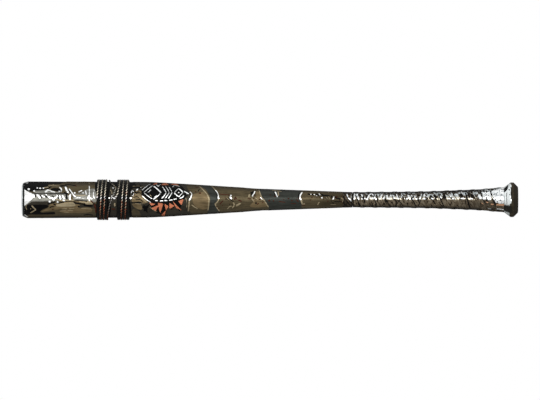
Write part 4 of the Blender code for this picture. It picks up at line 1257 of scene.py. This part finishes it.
def band_route(band):
    """The (along, angle) places of a band's wire from end to end."""
    steps = round((band["end"] - band["start"]) / 360 * POINTS_PER_TURN)
    angles = np.radians(np.linspace(band["start"], band["end"], steps + 1))
    turns = [(band["first"] - band["pitch"] * float(front_advance(angle)), angle) for angle in angles]
    return loose_end(turns[0], band["lead"])[::-1] + turns + loose_end(turns[-1], band["tail"])


def row_distance(band, along, angle):
    """The distance of each place from the nearest wound row of a band's wire."""
    nearest = np.full(along.shape, np.inf)
    first, last = np.radians(band["start"]), np.radians(band["end"])
    for turn in range(-1, 5):
        here = angle + math.tau * turn
        gap = np.abs(along - (band["first"] - band["pitch"] * front_advance(here)))
        nearest = np.where((here >= first) & (here <= last), np.minimum(nearest, gap), nearest)
    return nearest


def strap_rubber():
    """Rubber sheet, cut in strips: black and matt, greyed with dust, oily by the wire."""
    material, add, place = new_material("Matt black rubber sheet", Specular_IOR_Level=0.08)
    dust = add(NOISE, place, {"Scale": 1 / (5 * MM), "Detail": 5.0, "Roughness": 0.65})[0]
    mask = add(MAP_RANGE, dust, {"From Min": 0.48, "From Max": 0.8}, **SMOOTH)[0]
    tint = layered(add, srgb("#0b0c0c"), (mask, srgb("#2a2822")))
    rough = add(MAP_RANGE, dust, {"To Min": 0.45, "To Max": 0.8})[0]
    grit = add(NOISE, place, {"Scale": 1 / (0.7 * MM)})[0]
    return finished(material, {"Base Color": tint, "Roughness": rough}, grit, 0.4, 0.08 * MM)


def make_straps():
    """The black straps, whose rubber stands up between the turns of wire that bite into it."""
    material = strap_rubber()
    for band in BANDS.values():
        piece = copied("bound_" + band["strap"], band["strap"], STRAP_COLUMNS, 0, 0.55 * MM)
        far, angle, radius = surface_places(piece)
        along = -(far * MM + TIP)
        low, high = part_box(band["strap"])
        inset = np.minimum(along + high.x, -low.x - along)
        gap = row_distance(band, along, angle)
        swell = rise(gap, 1.2 * MM, 2.2 * MM) * rise(inset, 0.0, 0.9 * MM)
        bitten = 1 - rise(gap, 0.8 * MM, 1.8 * MM)
        outside = radius * MM > outer_radius(along) + FIT + STRAP_THICKNESS / 2
        relief = (STRAP_SWELL * swell - WIRE_BITE * bitten) * MM * outside
        store(piece, relief=relief, free=outside)
        dent(piece, material, 4 * MM, 0.3 * MM, 2)
        hand_over(piece, "strap_rubber", band["strap"])


def twisted_group(material, sizes):
    """Two strands twisted round a route of points, each a closed tube."""
    tree, add, source = geometry_group("Twisted wire", sizes)
    curve = add("GeometryNodeMeshToCurve", source["Geometry"])[0]
    smooth = add("GeometryNodeCurveSplineType", curve, spline_type="CATMULL_ROM")[0]
    fine = add("GeometryNodeSetSplineResolution", smooth, {"Resolution": 6})[0]
    even = add("GeometryNodeResampleCurve", fine, {"Length": source["Step"]}, mode="LENGTH")[0]
    radius = add(MATH, source["Wire Diameter"], STRAND_RADIUS, operation="MULTIPLY")[0]
    apart = add(MATH, source["Wire Diameter"], STRAND_OFFSET, operation="MULTIPLY")[0]
    profile = add("GeometryNodeCurvePrimitiveCircle", {"Resolution": 8, "Radius": radius}, mode="RADIUS")[0]
    position = add("GeometryNodeInputPosition")[0]
    round_axis = add(VECTOR_MATH, position, (0.0, 1.0, 1.0), operation="MULTIPLY")[0]
    distance = add(VECTOR_MATH, round_axis, operation="LENGTH")["Value"]
    along = add("GeometryNodeSplineParameter")["Length"]
    twists = add(MATH, along, source["Lay Length"], operation="DIVIDE")[0]
    sideways = add(VECTOR_MATH, add("GeometryNodeInputNormal")[0], {"Scale": apart}, operation="SCALE")[0]
    axis = add("GeometryNodeInputTangent")[0]
    reach = add(MATH, apart, distance, operation="MULTIPLY")[0]
    strands = []
    for phase in (0.0, math.pi):
        turn = add(MATH, twists, math.tau, phase, operation="MULTIPLY_ADD")[0]
        offset = add("ShaderNodeVectorRotate", sideways, {"Axis": axis, "Angle": turn},
                     rotation_type="AXIS_ANGLE")[0]
        outward = add(VECTOR_MATH, offset, round_axis, operation="DOT_PRODUCT")["Value"]
        raised = add(MATH, outward, reach, operation="DIVIDE")[0]
        marked = add("GeometryNodeStoreNamedAttribute", even, {"Name": "raised", "Value": raised})[0]
        laid = add("GeometryNodeSetPosition", marked, {"Offset": offset})[0]
        strands.append(add("GeometryNodeCurveToMesh", laid, profile, {"Fill Caps": True})[0])
    end_group(add, add("GeometryNodeJoinGeometry", strands)[0], material)
    return tree


def rusty_wire(wire):
    """Twisted mild steel wire as drawn: grey and cream mill scale on its crests, turned to red rust in
    blotches, more of it below, where water hangs, and black with old oil in flecks. Painted shade darkens
    the lay between the strands, the wire's top and bottom, and its scale low on the bat, and a line of
    crests along the front is painted white as a highlight."""
    material, add, place = new_material("Twisted mild steel wire", Specular_IOR_Level=0.12)
    blotch = add(NOISE, place, {"Scale": 1 / (2.8 * MM), "Detail": 3.0, "Roughness": 0.6})[0]
    grit = add(NOISE, place, {"Scale": 1 / (1.1 * MM), "Detail": 4.0})[0]
    axes = add("ShaderNodeSeparateXYZ", place)
    height = axes["Z"]
    low = add(MATH, height, -4.0, blotch, operation="MULTIPLY_ADD")[0]
    rusted = add(MAP_RANGE, low, {"From Min": 0.5, "From Max": 0.58}, **SMOOTH)[0]
    raised = add(STORED, attribute_name="raised")["Fac"]
    sunken = add(MAP_RANGE, raised, {"From Min": 0.6, "From Max": 0.25}, **SMOOTH)[0]
    # Painted shade on the top and the bottom and on the lower side, and a painted highlight along the
    # front.
    bands = {
        "top_bottom_shade": (away(add, height, 0.0), 14 * MM, 28 * MM, 0.75),
        "loose": (away(add, axes["X"], BARE_WIRE), 7.5 * MM, 5.5 * MM, 0.75),
        "lower_shade": (height, 1 * MM, -4 * MM, 0.7),
        "rubbed": (away(add, height, WIRE_HIGHLIGHT_HEIGHT), 3.2 * MM, 1.8 * MM, 0.9),
    }
    masks = {name: add(MAP_RANGE, value, {"From Min": start, "From Max": end, "To Max": most})[0]
             for name, (value, start, end, most) in bands.items()}
    oily = add(MAP_RANGE, grit, {"From Min": 0.56, "From Max": 0.7}, **SMOOTH)[0]
    # Painted shade in the lay between the strands and on the top and the bottom.
    shaded_lay_and_edges = add(MATH, sunken, masks["top_bottom_shade"], operation="MAXIMUM")[0]
    dark = add(MATH, shaded_lay_and_edges, oily, operation="MAXIMUM")[0]
    tint = layered(add, wire.scale_grey, (masks["lower_shade"], wire.lower_shade),
                   (rusted, wire.rust), (masks["loose"], wire.bare),
                   (masks["rubbed"], wire.rubbed), (dark, wire.dark))
    eaten = add(MATH, rusted, masks["rubbed"], operation="SUBTRACT")[0]
    bright = add(MATH, eaten, dark, operation="MAXIMUM")[0]
    metallic = add(MAP_RANGE, bright, {"To Min": 0.6, "To Max": 0.0})[0]
    rough = add(MAP_RANGE, rusted, {"To Min": 0.3, "To Max": 0.8})[0]
    sources = {"Base Color": tint, **gloss(add, metallic, rough)}
    return finished(material, sources, grit, 0.5, 0.15 * MM)


def make_wires(context):
    """Each band as one twisted wire along the route of its solid."""
    wire = context.scene.bat_wire
    sizes = {"Wire Diameter": wire.seen, "Lay Length": wire.lay, "Step": wire.step}
    tree = twisted_group(rusty_wire(wire), sizes)
    for name, band in BANDS.items():
        points = [wire_point(along, angle, wire.seen) for along, angle in band_route(band)]
        edges = [(index, index + 1) for index in range(len(points) - 1)]
        piece = mesh_object("twisted_" + name, points, [], edges)
        run_group(piece, tree, sizes)
        hand_over(piece, "wire_steel", name)


def lap(piece, material, grip):
    """Moves the tape along the radius by its laps, its small folds and its stored relief."""
    sizes = {"Pitch": TAPE_PITCH, "Overlap": TAPE_OVERLAP, "Settle": TAPE_SETTLE, "Lap": TAPE_LAP,
             "Foot": GRIP_FOOT, "Crinkle Depth": grip.crinkle_depth, "Crinkle Width": grip.crinkle_width}
    tree, add, source = geometry_group("Lapped tape", sizes)
    place = add("GeometryNodeInputPosition")[0]
    axes = add("ShaderNodeSeparateXYZ", place)
    front = add(MATH, axes["Y"], -1.0, operation="MULTIPLY")[0]
    angle = add(MATH, axes["Z"], front, operation="ARCTAN2")[0]
    turn = add(MATH, angle, math.tau, operation="DIVIDE")[0]
    along = add(MATH, axes["X"], -1.0, operation="MULTIPLY")[0]
    above = add(MATH, along, source["Foot"], operation="SUBTRACT")[0]
    turns = add(MATH, above, source["Pitch"], operation="DIVIDE")[0]
    phase = add(MATH, turns, turn, operation="SUBTRACT")[0]
    share = add(MATH, phase, operation="FRACT")[0]
    across = add(MATH, share, source["Pitch"], operation="MULTIPLY")[0]
    settled = add(MATH, source["Overlap"], source["Settle"], operation="ADD")[0]
    lowered = add(MATH, source["Lap"], -0.5, operation="MULTIPLY")[0]
    raised = add(MATH, source["Lap"], 0.5, operation="MULTIPLY")[0]
    step = add(MAP_RANGE, across, {"From Min": source["Overlap"], "From Max": settled, "To Min": raised,
                                   "To Max": lowered}, **SMOOTH)[0]
    fine = add(MATH, 1.0, source["Crinkle Width"], operation="DIVIDE")[0]
    leaning = add("ShaderNodeVectorRotate", place, {"Axis": (0.0, 1.0, 0.0), "Angle": math.radians(24)},
                  rotation_type="AXIS_ANGLE")[0]
    drawn = add(VECTOR_MATH, leaning, (1.0, 0.5, 0.36), operation="MULTIPLY")[0]
    noise = add(NOISE, drawn, {"Scale": fine, "Detail": 2.0, "Distortion": 0.5})[0]
    crest = add(MATH, noise, 0.5, operation="SUBTRACT")[0]
    crinkle = add(MATH, crest, source["Crinkle Depth"], step, operation="MULTIPLY_ADD")[0]
    height = add(MATH, crinkle, add(STORED_ON_POINTS, "relief")[0], operation="ADD")[0]
    kept = add(MATH, height, add(STORED_ON_POINTS, "free")[0], operation="MULTIPLY")[0]
    round_axis = add(VECTOR_MATH, place, (0.0, 1.0, 1.0), operation="MULTIPLY")[0]
    outward = add(VECTOR_MATH, round_axis, operation="NORMALIZE")[0]
    offset = add(VECTOR_MATH, outward, {"Scale": kept}, operation="SCALE")[0]
    shape = add("GeometryNodeSetPosition", source["Geometry"], {"Offset": offset})[0]
    for name, value in (("crest", crest), ("across", across)):
        shape = add("GeometryNodeStoreNamedAttribute", shape, {"Name": name, "Value": value})[0]
    end_group(add, shape, material)
    run_group(piece, tree, sizes)


def polished_tape(grip, name, bright):
    """Coated cloth tape, wound on stretched: a crinkled film whose crests carry a painted sheen, silver on
    the top half and brown below, with painted shade in its lows, and dirty in its folds."""
    material, add, place = new_material(name, Specular_IOR_Level=0.07)
    # The fold colour is dirt in the folds and seams, and painted shade in the lows and along the edges.
    dirt = grip.fold
    crest = add(STORED, attribute_name="crest")["Fac"]
    fleck = add(NOISE, place, {"Scale": 1 / (2.2 * MM), "Detail": 4.0, "Roughness": 0.65})[0]
    level = add(MATH, crest, 2.4, fleck, operation="MULTIPLY_ADD")[0]
    height = add("ShaderNodeSeparateXYZ", place)["Z"]
    # A painted sheen: the crests turn silver only on the top half, where the light is reflected.
    upper = add(MAP_RANGE, height, {"From Min": -1.0 * MM, "From Max": 1.5 * MM, "To Min": 0.12,
                                    "To Max": bright}, **SMOOTH)[0]
    crested = add(MAP_RANGE, level, {"From Min": 0.56, "From Max": 0.64}, **SMOOTH)[0]
    painted_sheen = add(MATH, crested, upper, operation="MULTIPLY")[0]
    # Painted shade: the lows between the crests turn dark, more of them on the top half.
    sunken = add(MATH, upper, -0.2, level, operation="MULTIPLY_ADD")[0]
    low = add(MAP_RANGE, sunken, {"From Min": 0.3, "From Max": 0.2}, **SMOOTH)[0]
    across = add(STORED, attribute_name="across")["Fac"]
    seam = add(MAP_RANGE, across, {"From Min": 1.4 * MM, "From Max": 0.2 * MM, "To Max": 0.75}, **SMOOTH)[0]
    # The painted sheen's colour turns from warm to silver higher up the side.
    rising = add(MAP_RANGE, height, {"From Min": 0.0, "From Max": 9 * MM}, **SMOOTH)[0]
    sheen = layered(add, grip.warm, (rising, grip.silver))
    tint = layered(add, grip.taupe, (painted_sheen, sheen), (low, dirt), (seam, dirt))
    finish = layered(add, shine(0.1, 0.24), (painted_sheen, shine(0.6, 0.16)), (low, shine(0.0, 0.5)))
    creased = add(NOISE, place, {"Scale": 1 / (2.6 * MM), "Detail": 2.0, "Distortion": 0.6})[0]
    cool = add(MAP_RANGE, creased, {"From Min": 0.52, "From Max": 0.58, "To Max": 0.85}, **SMOOTH)[0]
    pitted = add(MAP_RANGE, creased, {"From Min": 0.61, "From Max": 0.65}, **SMOOTH)[0]
    film = layered(add, grip.bright, (cool, grip.cool), (pitted, dirt))
    edge = (0.3 * MM,)
    layers = {"shine": (film, shine(0.6, 0.16), edge), "copper": (grip.copper, shine(0.0, 0.5), edge),
              "fold": (dirt, shine(0.0, 0.55), edge)}
    tint, metallic, rough = coated(add, place, tint, finish, layers)
    # Painted shade along the top and the underside, and the darker lower side, darken the film and take
    # away its metal sheen.
    grime = add(STORED, attribute_name="grime")["Fac"]
    clean = add(MAP_RANGE, grime, {"To Min": 1.0, "To Max": 0.1})[0]
    metallic = add(MATH, metallic, clean, operation="MULTIPLY")[0]
    grain = add(NOISE, place, {"Scale": 1 / (0.8 * MM), "Detail": 3.0})[0]
    sources = {"Base Color": layered(add, tint, (grime, dirt)), **gloss(add, metallic, rough)}
    return finished(material, sources, grain, 0.4, 0.1 * MM)


def dress_tape(piece, strokes, outside, proud, dirt):
    """Stores the layers, the relief and the darkening of a taped piece: painted shade and a darker lower
    side.
    """
    far, angle, _ = surface_places(piece)
    fields = depth_fields(piece, GRIP_LAYERS, strokes)
    raised = rise(fields["shine"], -0.4, 0.7) * (1 - rise(fields["fold"], -0.4, 0.5))
    sunk = rise(fields["fold"], -0.5, 0.7)
    # Painted shade lies where the sides turn away, fading towards the knob, and the lower side turns darker
    # low on the bat; both are taken off the bright patches by the knob.
    edges = 0.95 * rise(np.abs(np.sin(angle)), 0.55, 0.95)
    start, end, depth = dirt
    below = depth * rise(far, start, end) * rise(-np.sin(angle), 0.0, 0.4)
    grime = np.maximum(edges * (1 - 0.7 * rise(far, *EDGE_SHADE_FADE)), below)
    grime *= 1 - 0.85 * rise(fields["shine"], -0.3, 0.3) * rise(far, *CLEARED_PATCHES)
    store(piece, relief=proud * (raised - 1.4 * sunk), free=outside, grime=grime, **fields)


def make_grip(context):
    """The lapped tape over the handle."""
    grip = context.scene.bat_grip
    under = outer_side("grip_underwrap")
    count = round((GRIP_TOP - GRIP_FOOT) / grip.row)
    along = np.linspace(GRIP_FOOT, GRIP_TOP, count + 1)
    inner = np.interp(along, under[:, 0], under[:, 1]) + FIT
    inner = np.maximum(inner, smoothed(inner, 19))
    rows = list(zip(along, inner + TAPE_THICKNESS)) + list(zip(along[::-8], inner[::-8]))
    piece = turned("lapped_tape", rows, True, grip.columns)
    outside = np.zeros(len(piece.data.vertices))
    outside[:len(along) * grip.columns] = 1.0
    dress_tape(piece, GRIP_STROKES, outside, 0.16 * MM, GRIP_UNDERSIDE_DARKENING)
    lap(piece, polished_tape(grip, "Polished coated cloth tape", 0.8), grip)
    hand_over(piece, "grip_tape", "grip_wrap")


def make_collar(context):
    """The dark finishing collar, one turn of tape over the handle's step."""
    grip = context.scene.bat_grip
    piece = copied("finishing_collar", "grip_collar", grip.columns, 0.35 * MM, 0.9 * MM)
    far, angle, radius = surface_places(piece)
    dress_tape(piece, COLLAR_STROKES, radius > np.median(radius), 0.12 * MM, COLLAR_UNDERSIDE_DARKENING)
    store(piece, crest=-0.1 + 0.05 * np.sin(9 * angle + 0.9 * far), across=np.full(len(far), TAPE_PITCH))
    dent(piece, polished_tape(grip, "Dark finishing tape", 0.0), 5 * MM, 0.25 * MM, 3)
    hand_over(piece, "collar_tape", "grip_collar")


def worn_knob(context):
    """Turned aluminium, blackened: matt and near black on the rim, with its cone rubbed bright."""
    grip, paint = context.scene.bat_grip, context.scene.bat_paint
    material, add, place = new_material("Blackened turned aluminium", Specular_IOR_Level=0.1)
    cloud = add(NOISE, place, {"Scale": 1 / (7 * MM), "Detail": 5.0, "Roughness": 0.65})[0]
    shade = add(MAP_RANGE, cloud, {"From Min": 0.35, "From Max": 0.65, "To Min": 0.6, "To Max": 1.5})[0]
    along = add("ShaderNodeSeparateXYZ", place)["X"]
    rubbed = add(MAP_RANGE, along, {"From Min": -9 * MM, "From Max": -7 * MM, "To Min": 1.0,
                                    "To Max": 0.5})[0]
    level = add(MATH, shade, rubbed, operation="MULTIPLY")[0]
    base = add(VECTOR_MATH, srgb("#363024")[:3], {"Scale": level}, operation="SCALE")[0]
    size = 2.4 * MM
    layers = {"bare": (srgb("#d8dedd"), shine(0.9, 0.24), (1.4 * MM, size)),
              # Painted shade on the cone's lower front.
              "soot": (srgb("#1f1e18"), shine(0.0, 0.6), (1.0 * MM, size, CONE_SHADE_SOFTNESS)),
              "shine": (srgb("#f0f6f6"), shine(0.6, 0.2), (0.5 * MM, size)),
              "fold": (paint.black, shine(0.0, 0.6), (0.4 * MM, size)),
              "copper": (grip.copper, shine(0.2, 0.5), (0.4 * MM, size))}
    tint, metallic, rough = coated(add, place, base, shine(0.0, 0.5), layers)
    grain = add(NOISE, place, {"Scale": 1 / (1.0 * MM), "Detail": 4.0})[0]
    sources = {"Base Color": tint, **gloss(add, metallic, rough)}
    return finished(material, sources, grain, 0.4, 0.12 * MM)


def make_knob(context):
    """The knob with rounded edges, chips and its cone rubbed bright."""
    piece = copied("turned_knob", "knob", END_COLUMNS, 0.9 * MM, 0.9 * MM)
    far, _, radius = surface_places(piece)
    fields = depth_fields(piece, (*GRIP_LAYERS, "soot"), KNOB_STROKES, KNOB_PATCHES)
    cone_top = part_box("knob")[0].x
    x = far * MM + TIP
    cone = np.minimum((x - cone_top) / MM + 2, (CONE_FOOT - x) / MM)
    fields["bare"] = np.where(radius > CONE_RADIUS, cone, -CLEAR)
    relief = (0.2 * rise(fields["shine"], *GOUGE_EDGE) - 0.5 * rise(fields["fold"], *GOUGE_EDGE)) * MM
    store(piece, relief=relief, free=rise(radius, 20.0, 22.0), **fields)
    dent(piece, worn_knob(context), 6 * MM, 0.5 * MM, 11)
    hand_over(piece, "knob_metal", "knob")


def moulded_rubber():
    """Moulded black rubber: matt, with a soft grey bloom and fine grit."""
    material, add, place = new_material("Moulded black rubber", Specular_IOR_Level=0.1)
    bloom = add(NOISE, place, {"Scale": 1 / (6 * MM), "Detail": 5.0, "Roughness": 0.6})[0]
    mask = add(MAP_RANGE, bloom, {"From Min": 0.45, "From Max": 0.75}, **SMOOTH)[0]
    tint = layered(add, srgb("#070707"), (mask, srgb("#1b1b1a")))
    rough = add(MAP_RANGE, bloom, {"To Min": 0.5, "To Max": 0.75})[0]
    grit = add(NOISE, place, {"Scale": 1 / (0.6 * MM)})[0]
    return finished(material, {"Base Color": tint, "Roughness": rough}, grit, 0.3, 0.05 * MM)


def cast_cap():
    """Cast aluminium under pale worn lacquer: semi-gloss, scuffed through in fine arcs, with a painted dark
    reflection against its rim."""
    material, add, place = new_material("Lacquered cast aluminium", Specular_IOR_Level=0.4, Metallic=0.35)
    axes = add("ShaderNodeSeparateXYZ", place)
    flat = add("ShaderNodeCombineXYZ", axes["Y"], axes["Z"])[0]
    radius = add(VECTOR_MATH, flat, operation="LENGTH")["Value"]
    cloud = add(NOISE, place, {"Scale": 1 / (9 * MM), "Detail": 5.0, "Roughness": 0.65})[0]
    wobble = add(MATH, cloud, 9 * MM, radius, operation="MULTIPLY_ADD")[0]
    # A painted dark reflection in a ring against the rim.
    rim = add(MAP_RANGE, wobble, {"From Min": 34 * MM, "From Max": 38 * MM}, **SMOOTH)[0]
    arcs = add("ShaderNodeMapping", place, {"Rotation": (0.6, 0, 0), "Scale": (1, 0.12, 1)})[0]
    scuff = add(NOISE, arcs, {"Scale": 1 / (1.4 * MM), "Detail": 4.0})[0]
    scratched = add(MAP_RANGE, scuff, {"From Min": 0.54, "From Max": 0.68, "To Max": 0.8}, **SMOOTH)[0]
    tint = layered(add, srgb("#a9b2b4"), (cloud, srgb("#c9d0d0")), (scratched, srgb("#6f7370")),
                   (rim, srgb("#2a2823")))
    rough = add(MAP_RANGE, scratched, {"To Min": 0.3, "To Max": 0.55})[0]
    return finished(material, {"Base Color": tint, "Roughness": rough}, scuff, 0.3, 0.08 * MM)


def plain_turned(name, source, material, columns, slot, dents):
    """A small turned piece: the solid's outline with rounded corners and slight dents."""
    piece = copied(name, source, columns, 0.5 * MM, 1.2 * MM)
    points = len(piece.data.vertices)
    store(piece, relief=np.zeros(points), free=np.ones(points))
    dent(piece, material, 7 * MM, dents, 5)
    hand_over(piece, slot, source)


def make_ends():
    """The cap, its gasket and the knob's vent plug."""
    rubber = moulded_rubber()
    plain_turned("domed_cap", "end_cap", cast_cap(), END_COLUMNS, "cap", 0.12 * MM)
    plain_turned("mouth_gasket", "cap_gasket", rubber, END_COLUMNS, "black_rubber", 0.15 * MM)
    plain_turned("vent_plug", "knob_plug", rubber, 64, "black_rubber", 0.1 * MM)


def finish_inner():
    """Grain and mottling for the solids that lie inside and keep their own mesh."""
    for name, (title, light, dark, grain, metallic, rough) in INNER_FINISHES.items():
        material, add, place = new_material(title, Metallic=metallic, Roughness=rough)
        noise = add(NOISE, place, {"Scale": 1 / grain, "Detail": 4.0, "Roughness": 0.6})[0]
        tint = layered(add, srgb(dark), (noise, srgb(light)))
        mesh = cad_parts[name].data
        mesh.materials.clear()
        mesh.materials.append(finished(material, {"Base Color": tint}, noise, 0.6, grain / 8))


def seen_rays(add):
    """1 for what is seen straight on, in a reflection or through glass, and 0 for light."""
    path = add("ShaderNodeLightPath")
    seen = add(MATH, path["Is Camera Ray"], path["Is Glossy Ray"], operation="MAXIMUM")[0]
    return add(MATH, seen, path["Is Transmission Ray"], operation="MAXIMUM")[0]


def studio_paper(studio, centre):
    """Matt paper: a faint fibre grain, which fades out towards the floor's edge."""
    material, add, place = new_material("Matt studio paper", Roughness=0.95, Specular_IOR_Level=0.1,
                                        Emission_Color=(1, 1, 1, 1))
    centred = add(VECTOR_MATH, place, centre, operation="SUBTRACT")[0]
    distance = add(VECTOR_MATH, centred, operation="LENGTH")["Value"]
    held = add(MAP_RANGE, distance, {"From Min": studio.floor_radius,
                                     "From Max": 0.45 * studio.floor_radius}, **SMOOTH)[0]
    fibre = add(NOISE, place, {"Scale": 1 / (4 * MM)})[0]
    shade = add(MAP_RANGE, fibre, {"To Min": 0.97, "To Max": 1.03})[0]
    tint = add(VECTOR_MATH, studio.floor[:3], {"Scale": shade}, operation="SCALE")[0]
    lift = add(MATH, seen_rays(add), studio.paper_glow, operation="MULTIPLY")[0]
    return finished(material, {"Emission Strength": lift, "Base Color": tint, "Alpha": held})


def make_floor(studio):
    """A pale matt floor that fades out at its edge."""
    centre = (MIDDLE, 0, FLOOR_HEIGHT)
    shape = bmesh.new()
    bmesh.ops.create_circle(shape, cap_ends=True, radius=studio.floor_radius, segments=96)
    mesh = bpy.data.meshes.new("floor")
    shape.to_mesh(mesh)
    shape.free()
    mesh.transform(Matrix.Translation(centre))
    mesh.materials.append(studio_paper(studio, centre))
    floor = bpy.data.objects.new("floor", mesh)
    bpy.context.scene.collection.objects.link(floor)


def make_lamps(studio):
    """A soft strip light in front, just over the bat's axis, and weak panels overhead and behind.
    Each is its name, its degrees up from the front, its half height in degrees and its radiance."""
    panels = (("front_panel", 12, 11, studio.front_radiance), ("top_panel", 80, 16, studio.fill_radiance),
              ("back_panel", 150, 16, studio.fill_radiance))
    for name, degrees, half, radiance in panels:
        lift = math.radians(degrees)
        lamp = bpy.data.lights.new(name, "AREA")
        lamp.shape = "RECTANGLE"
        lamp.size = studio.panel_width
        lamp.size_y = 2 * studio.panel_distance * math.tan(math.radians(half))
        lamp.energy = radiance * math.pi * lamp.size * lamp.size_y
        panel = bpy.data.objects.new(name, lamp)
        panel.location = (MIDDLE, -studio.panel_distance * math.cos(lift),
                          studio.panel_distance * math.sin(lift))
        panel.rotation_euler = (math.pi / 2 - lift, 0, 0)
        panel.visible_camera = False
        bpy.context.scene.collection.objects.link(panel)


def make_world(studio):
    """A white room to look at, and a soft grey one to light by."""
    world = bpy.data.worlds.new("white_room")
    world.use_nodes = True
    tree = world.node_tree
    add = node_adder(tree)
    background = next(item for item in tree.nodes if item.type == "BACKGROUND")
    level = add(MAP_RANGE, seen_rays(add), {"To Min": studio.ambient, "To Max": 1.0})[0]
    background.inputs["Color"].default_value = (1, 1, 1, 1)
    tree.links.new(level, background.inputs["Strength"])
    bpy.context.scene.world = world


def make_camera(studio):
    """A long lens level with the floor, tipped up by a hair so that the bat is in the middle."""
    camera = bpy.data.cameras.new("side_camera")
    camera.lens = camera.sensor_width * studio.distance / studio.view_width
    camera.clip_end = 100
    below = FLOOR_HEIGHT - CAMERA_DROP
    seat = bpy.data.objects.new("side_camera", camera)
    seat.location = (CAMERA_PLACE, -studio.distance, below)
    seat.rotation_euler = (math.pi / 2 + math.atan((AIM_HEIGHT - below) / studio.distance), 0, 0)
    bpy.context.scene.collection.objects.link(seat)
    bpy.context.scene.camera = seat


class BAT_OT_studio(bpy.types.Operator):
    """Sets up the pale floor, the soft panels, the white room and the camera"""
    bl_idname = "bat.studio"
    bl_label = "Studio"

    def execute(self, context):
        studio = context.scene.bat_studio
        for make in (make_floor, make_lamps, make_world, make_camera):
            make(studio)
        context.scene.view_settings.view_transform = "Standard"
        return {"FINISHED"}


class BAT_OT_barrel(bpy.types.Operator):
    """Makes the painted and dented barrel"""
    bl_idname = "bat.barrel"
    bl_label = "Painted barrel"

    def execute(self, context):
        make_barrel(context)
        return {"FINISHED"}


class BAT_OT_wires(bpy.types.Operator):
    """Makes the two black straps and the twisted wire round each"""
    bl_idname = "bat.wires"
    bl_label = "Straps and wire bands"

    def execute(self, context):
        make_straps()
        make_wires(context)
        return {"FINISHED"}


class BAT_OT_grip(bpy.types.Operator):
    """Makes the lapped tape"""
    bl_idname = "bat.grip"
    bl_label = "Lapped tape"

    def execute(self, context):
        make_grip(context)
        return {"FINISHED"}


class BAT_OT_collar(bpy.types.Operator):
    """Makes the finishing collar"""
    bl_idname = "bat.collar"
    bl_label = "Finishing collar"

    def execute(self, context):
        make_collar(context)
        return {"FINISHED"}


class BAT_OT_knob(bpy.types.Operator):
    """Makes the turned knob"""
    bl_idname = "bat.knob"
    bl_label = "Knob"

    def execute(self, context):
        make_knob(context)
        return {"FINISHED"}


class BAT_OT_ends(bpy.types.Operator):
    """Makes the cap, its gasket and the vent plug"""
    bl_idname = "bat.ends"
    bl_label = "Cap, gasket and plug"

    def execute(self, context):
        make_ends()
        return {"FINISHED"}


class BAT_OT_inner(bpy.types.Operator):
    """Gives the inner solids their finishes"""
    bl_idname = "bat.inner"
    bl_label = "Inner pieces"

    def execute(self, context):
        finish_inner()
        return {"FINISHED"}


STEPS = (BAT_OT_studio, BAT_OT_barrel, BAT_OT_wires, BAT_OT_grip, BAT_OT_collar, BAT_OT_knob, BAT_OT_ends,
         BAT_OT_inner)
SETTINGS = {"bat_paint": PaintSettings, "bat_skin": SkinSettings, "bat_wire": WireSettings,
            "bat_grip": GripSettings, "bat_studio": StudioSettings}


class BAT_PT_steps(bpy.types.Panel):
    """Lists the steps that dress the bat, and their sizes and colours"""
    bl_label = "Worn bat"
    bl_idname = "BAT_PT_steps"
    bl_space_type = "VIEW_3D"
    bl_region_type = "UI"
    bl_category = "Bat"

    def draw(self, context):
        for step in STEPS:
            self.layout.operator(step.bl_idname)
        for name, group in SETTINGS.items():
            box = self.layout.box()
            for setting in group.__annotations__:
                box.prop(getattr(context.scene, name), setting)


def register():
    """Registers the classes and hangs the settings on the scene."""
    for group in (*SETTINGS.values(), *STEPS, BAT_PT_steps):
        bpy.utils.register_class(group)
    for name, group in SETTINGS.items():
        setattr(bpy.types.Scene, name, PointerProperty(type=group))


def unregister():
    """Takes the settings and the classes away again."""
    for name in SETTINGS:
        delattr(bpy.types.Scene, name)
    for group in reversed((*SETTINGS.values(), *STEPS, BAT_PT_steps)):
        bpy.utils.unregister_class(group)


def main():
    """Registers the add-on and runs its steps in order."""
    register()
    bpy.ops.bat.studio()
    bpy.ops.bat.barrel()
    bpy.ops.bat.wires()
    bpy.ops.bat.grip()
    bpy.ops.bat.collar()
    bpy.ops.bat.knob()
    bpy.ops.bat.ends()
    bpy.ops.bat.inner()


if __name__ == "__main__":
    main()
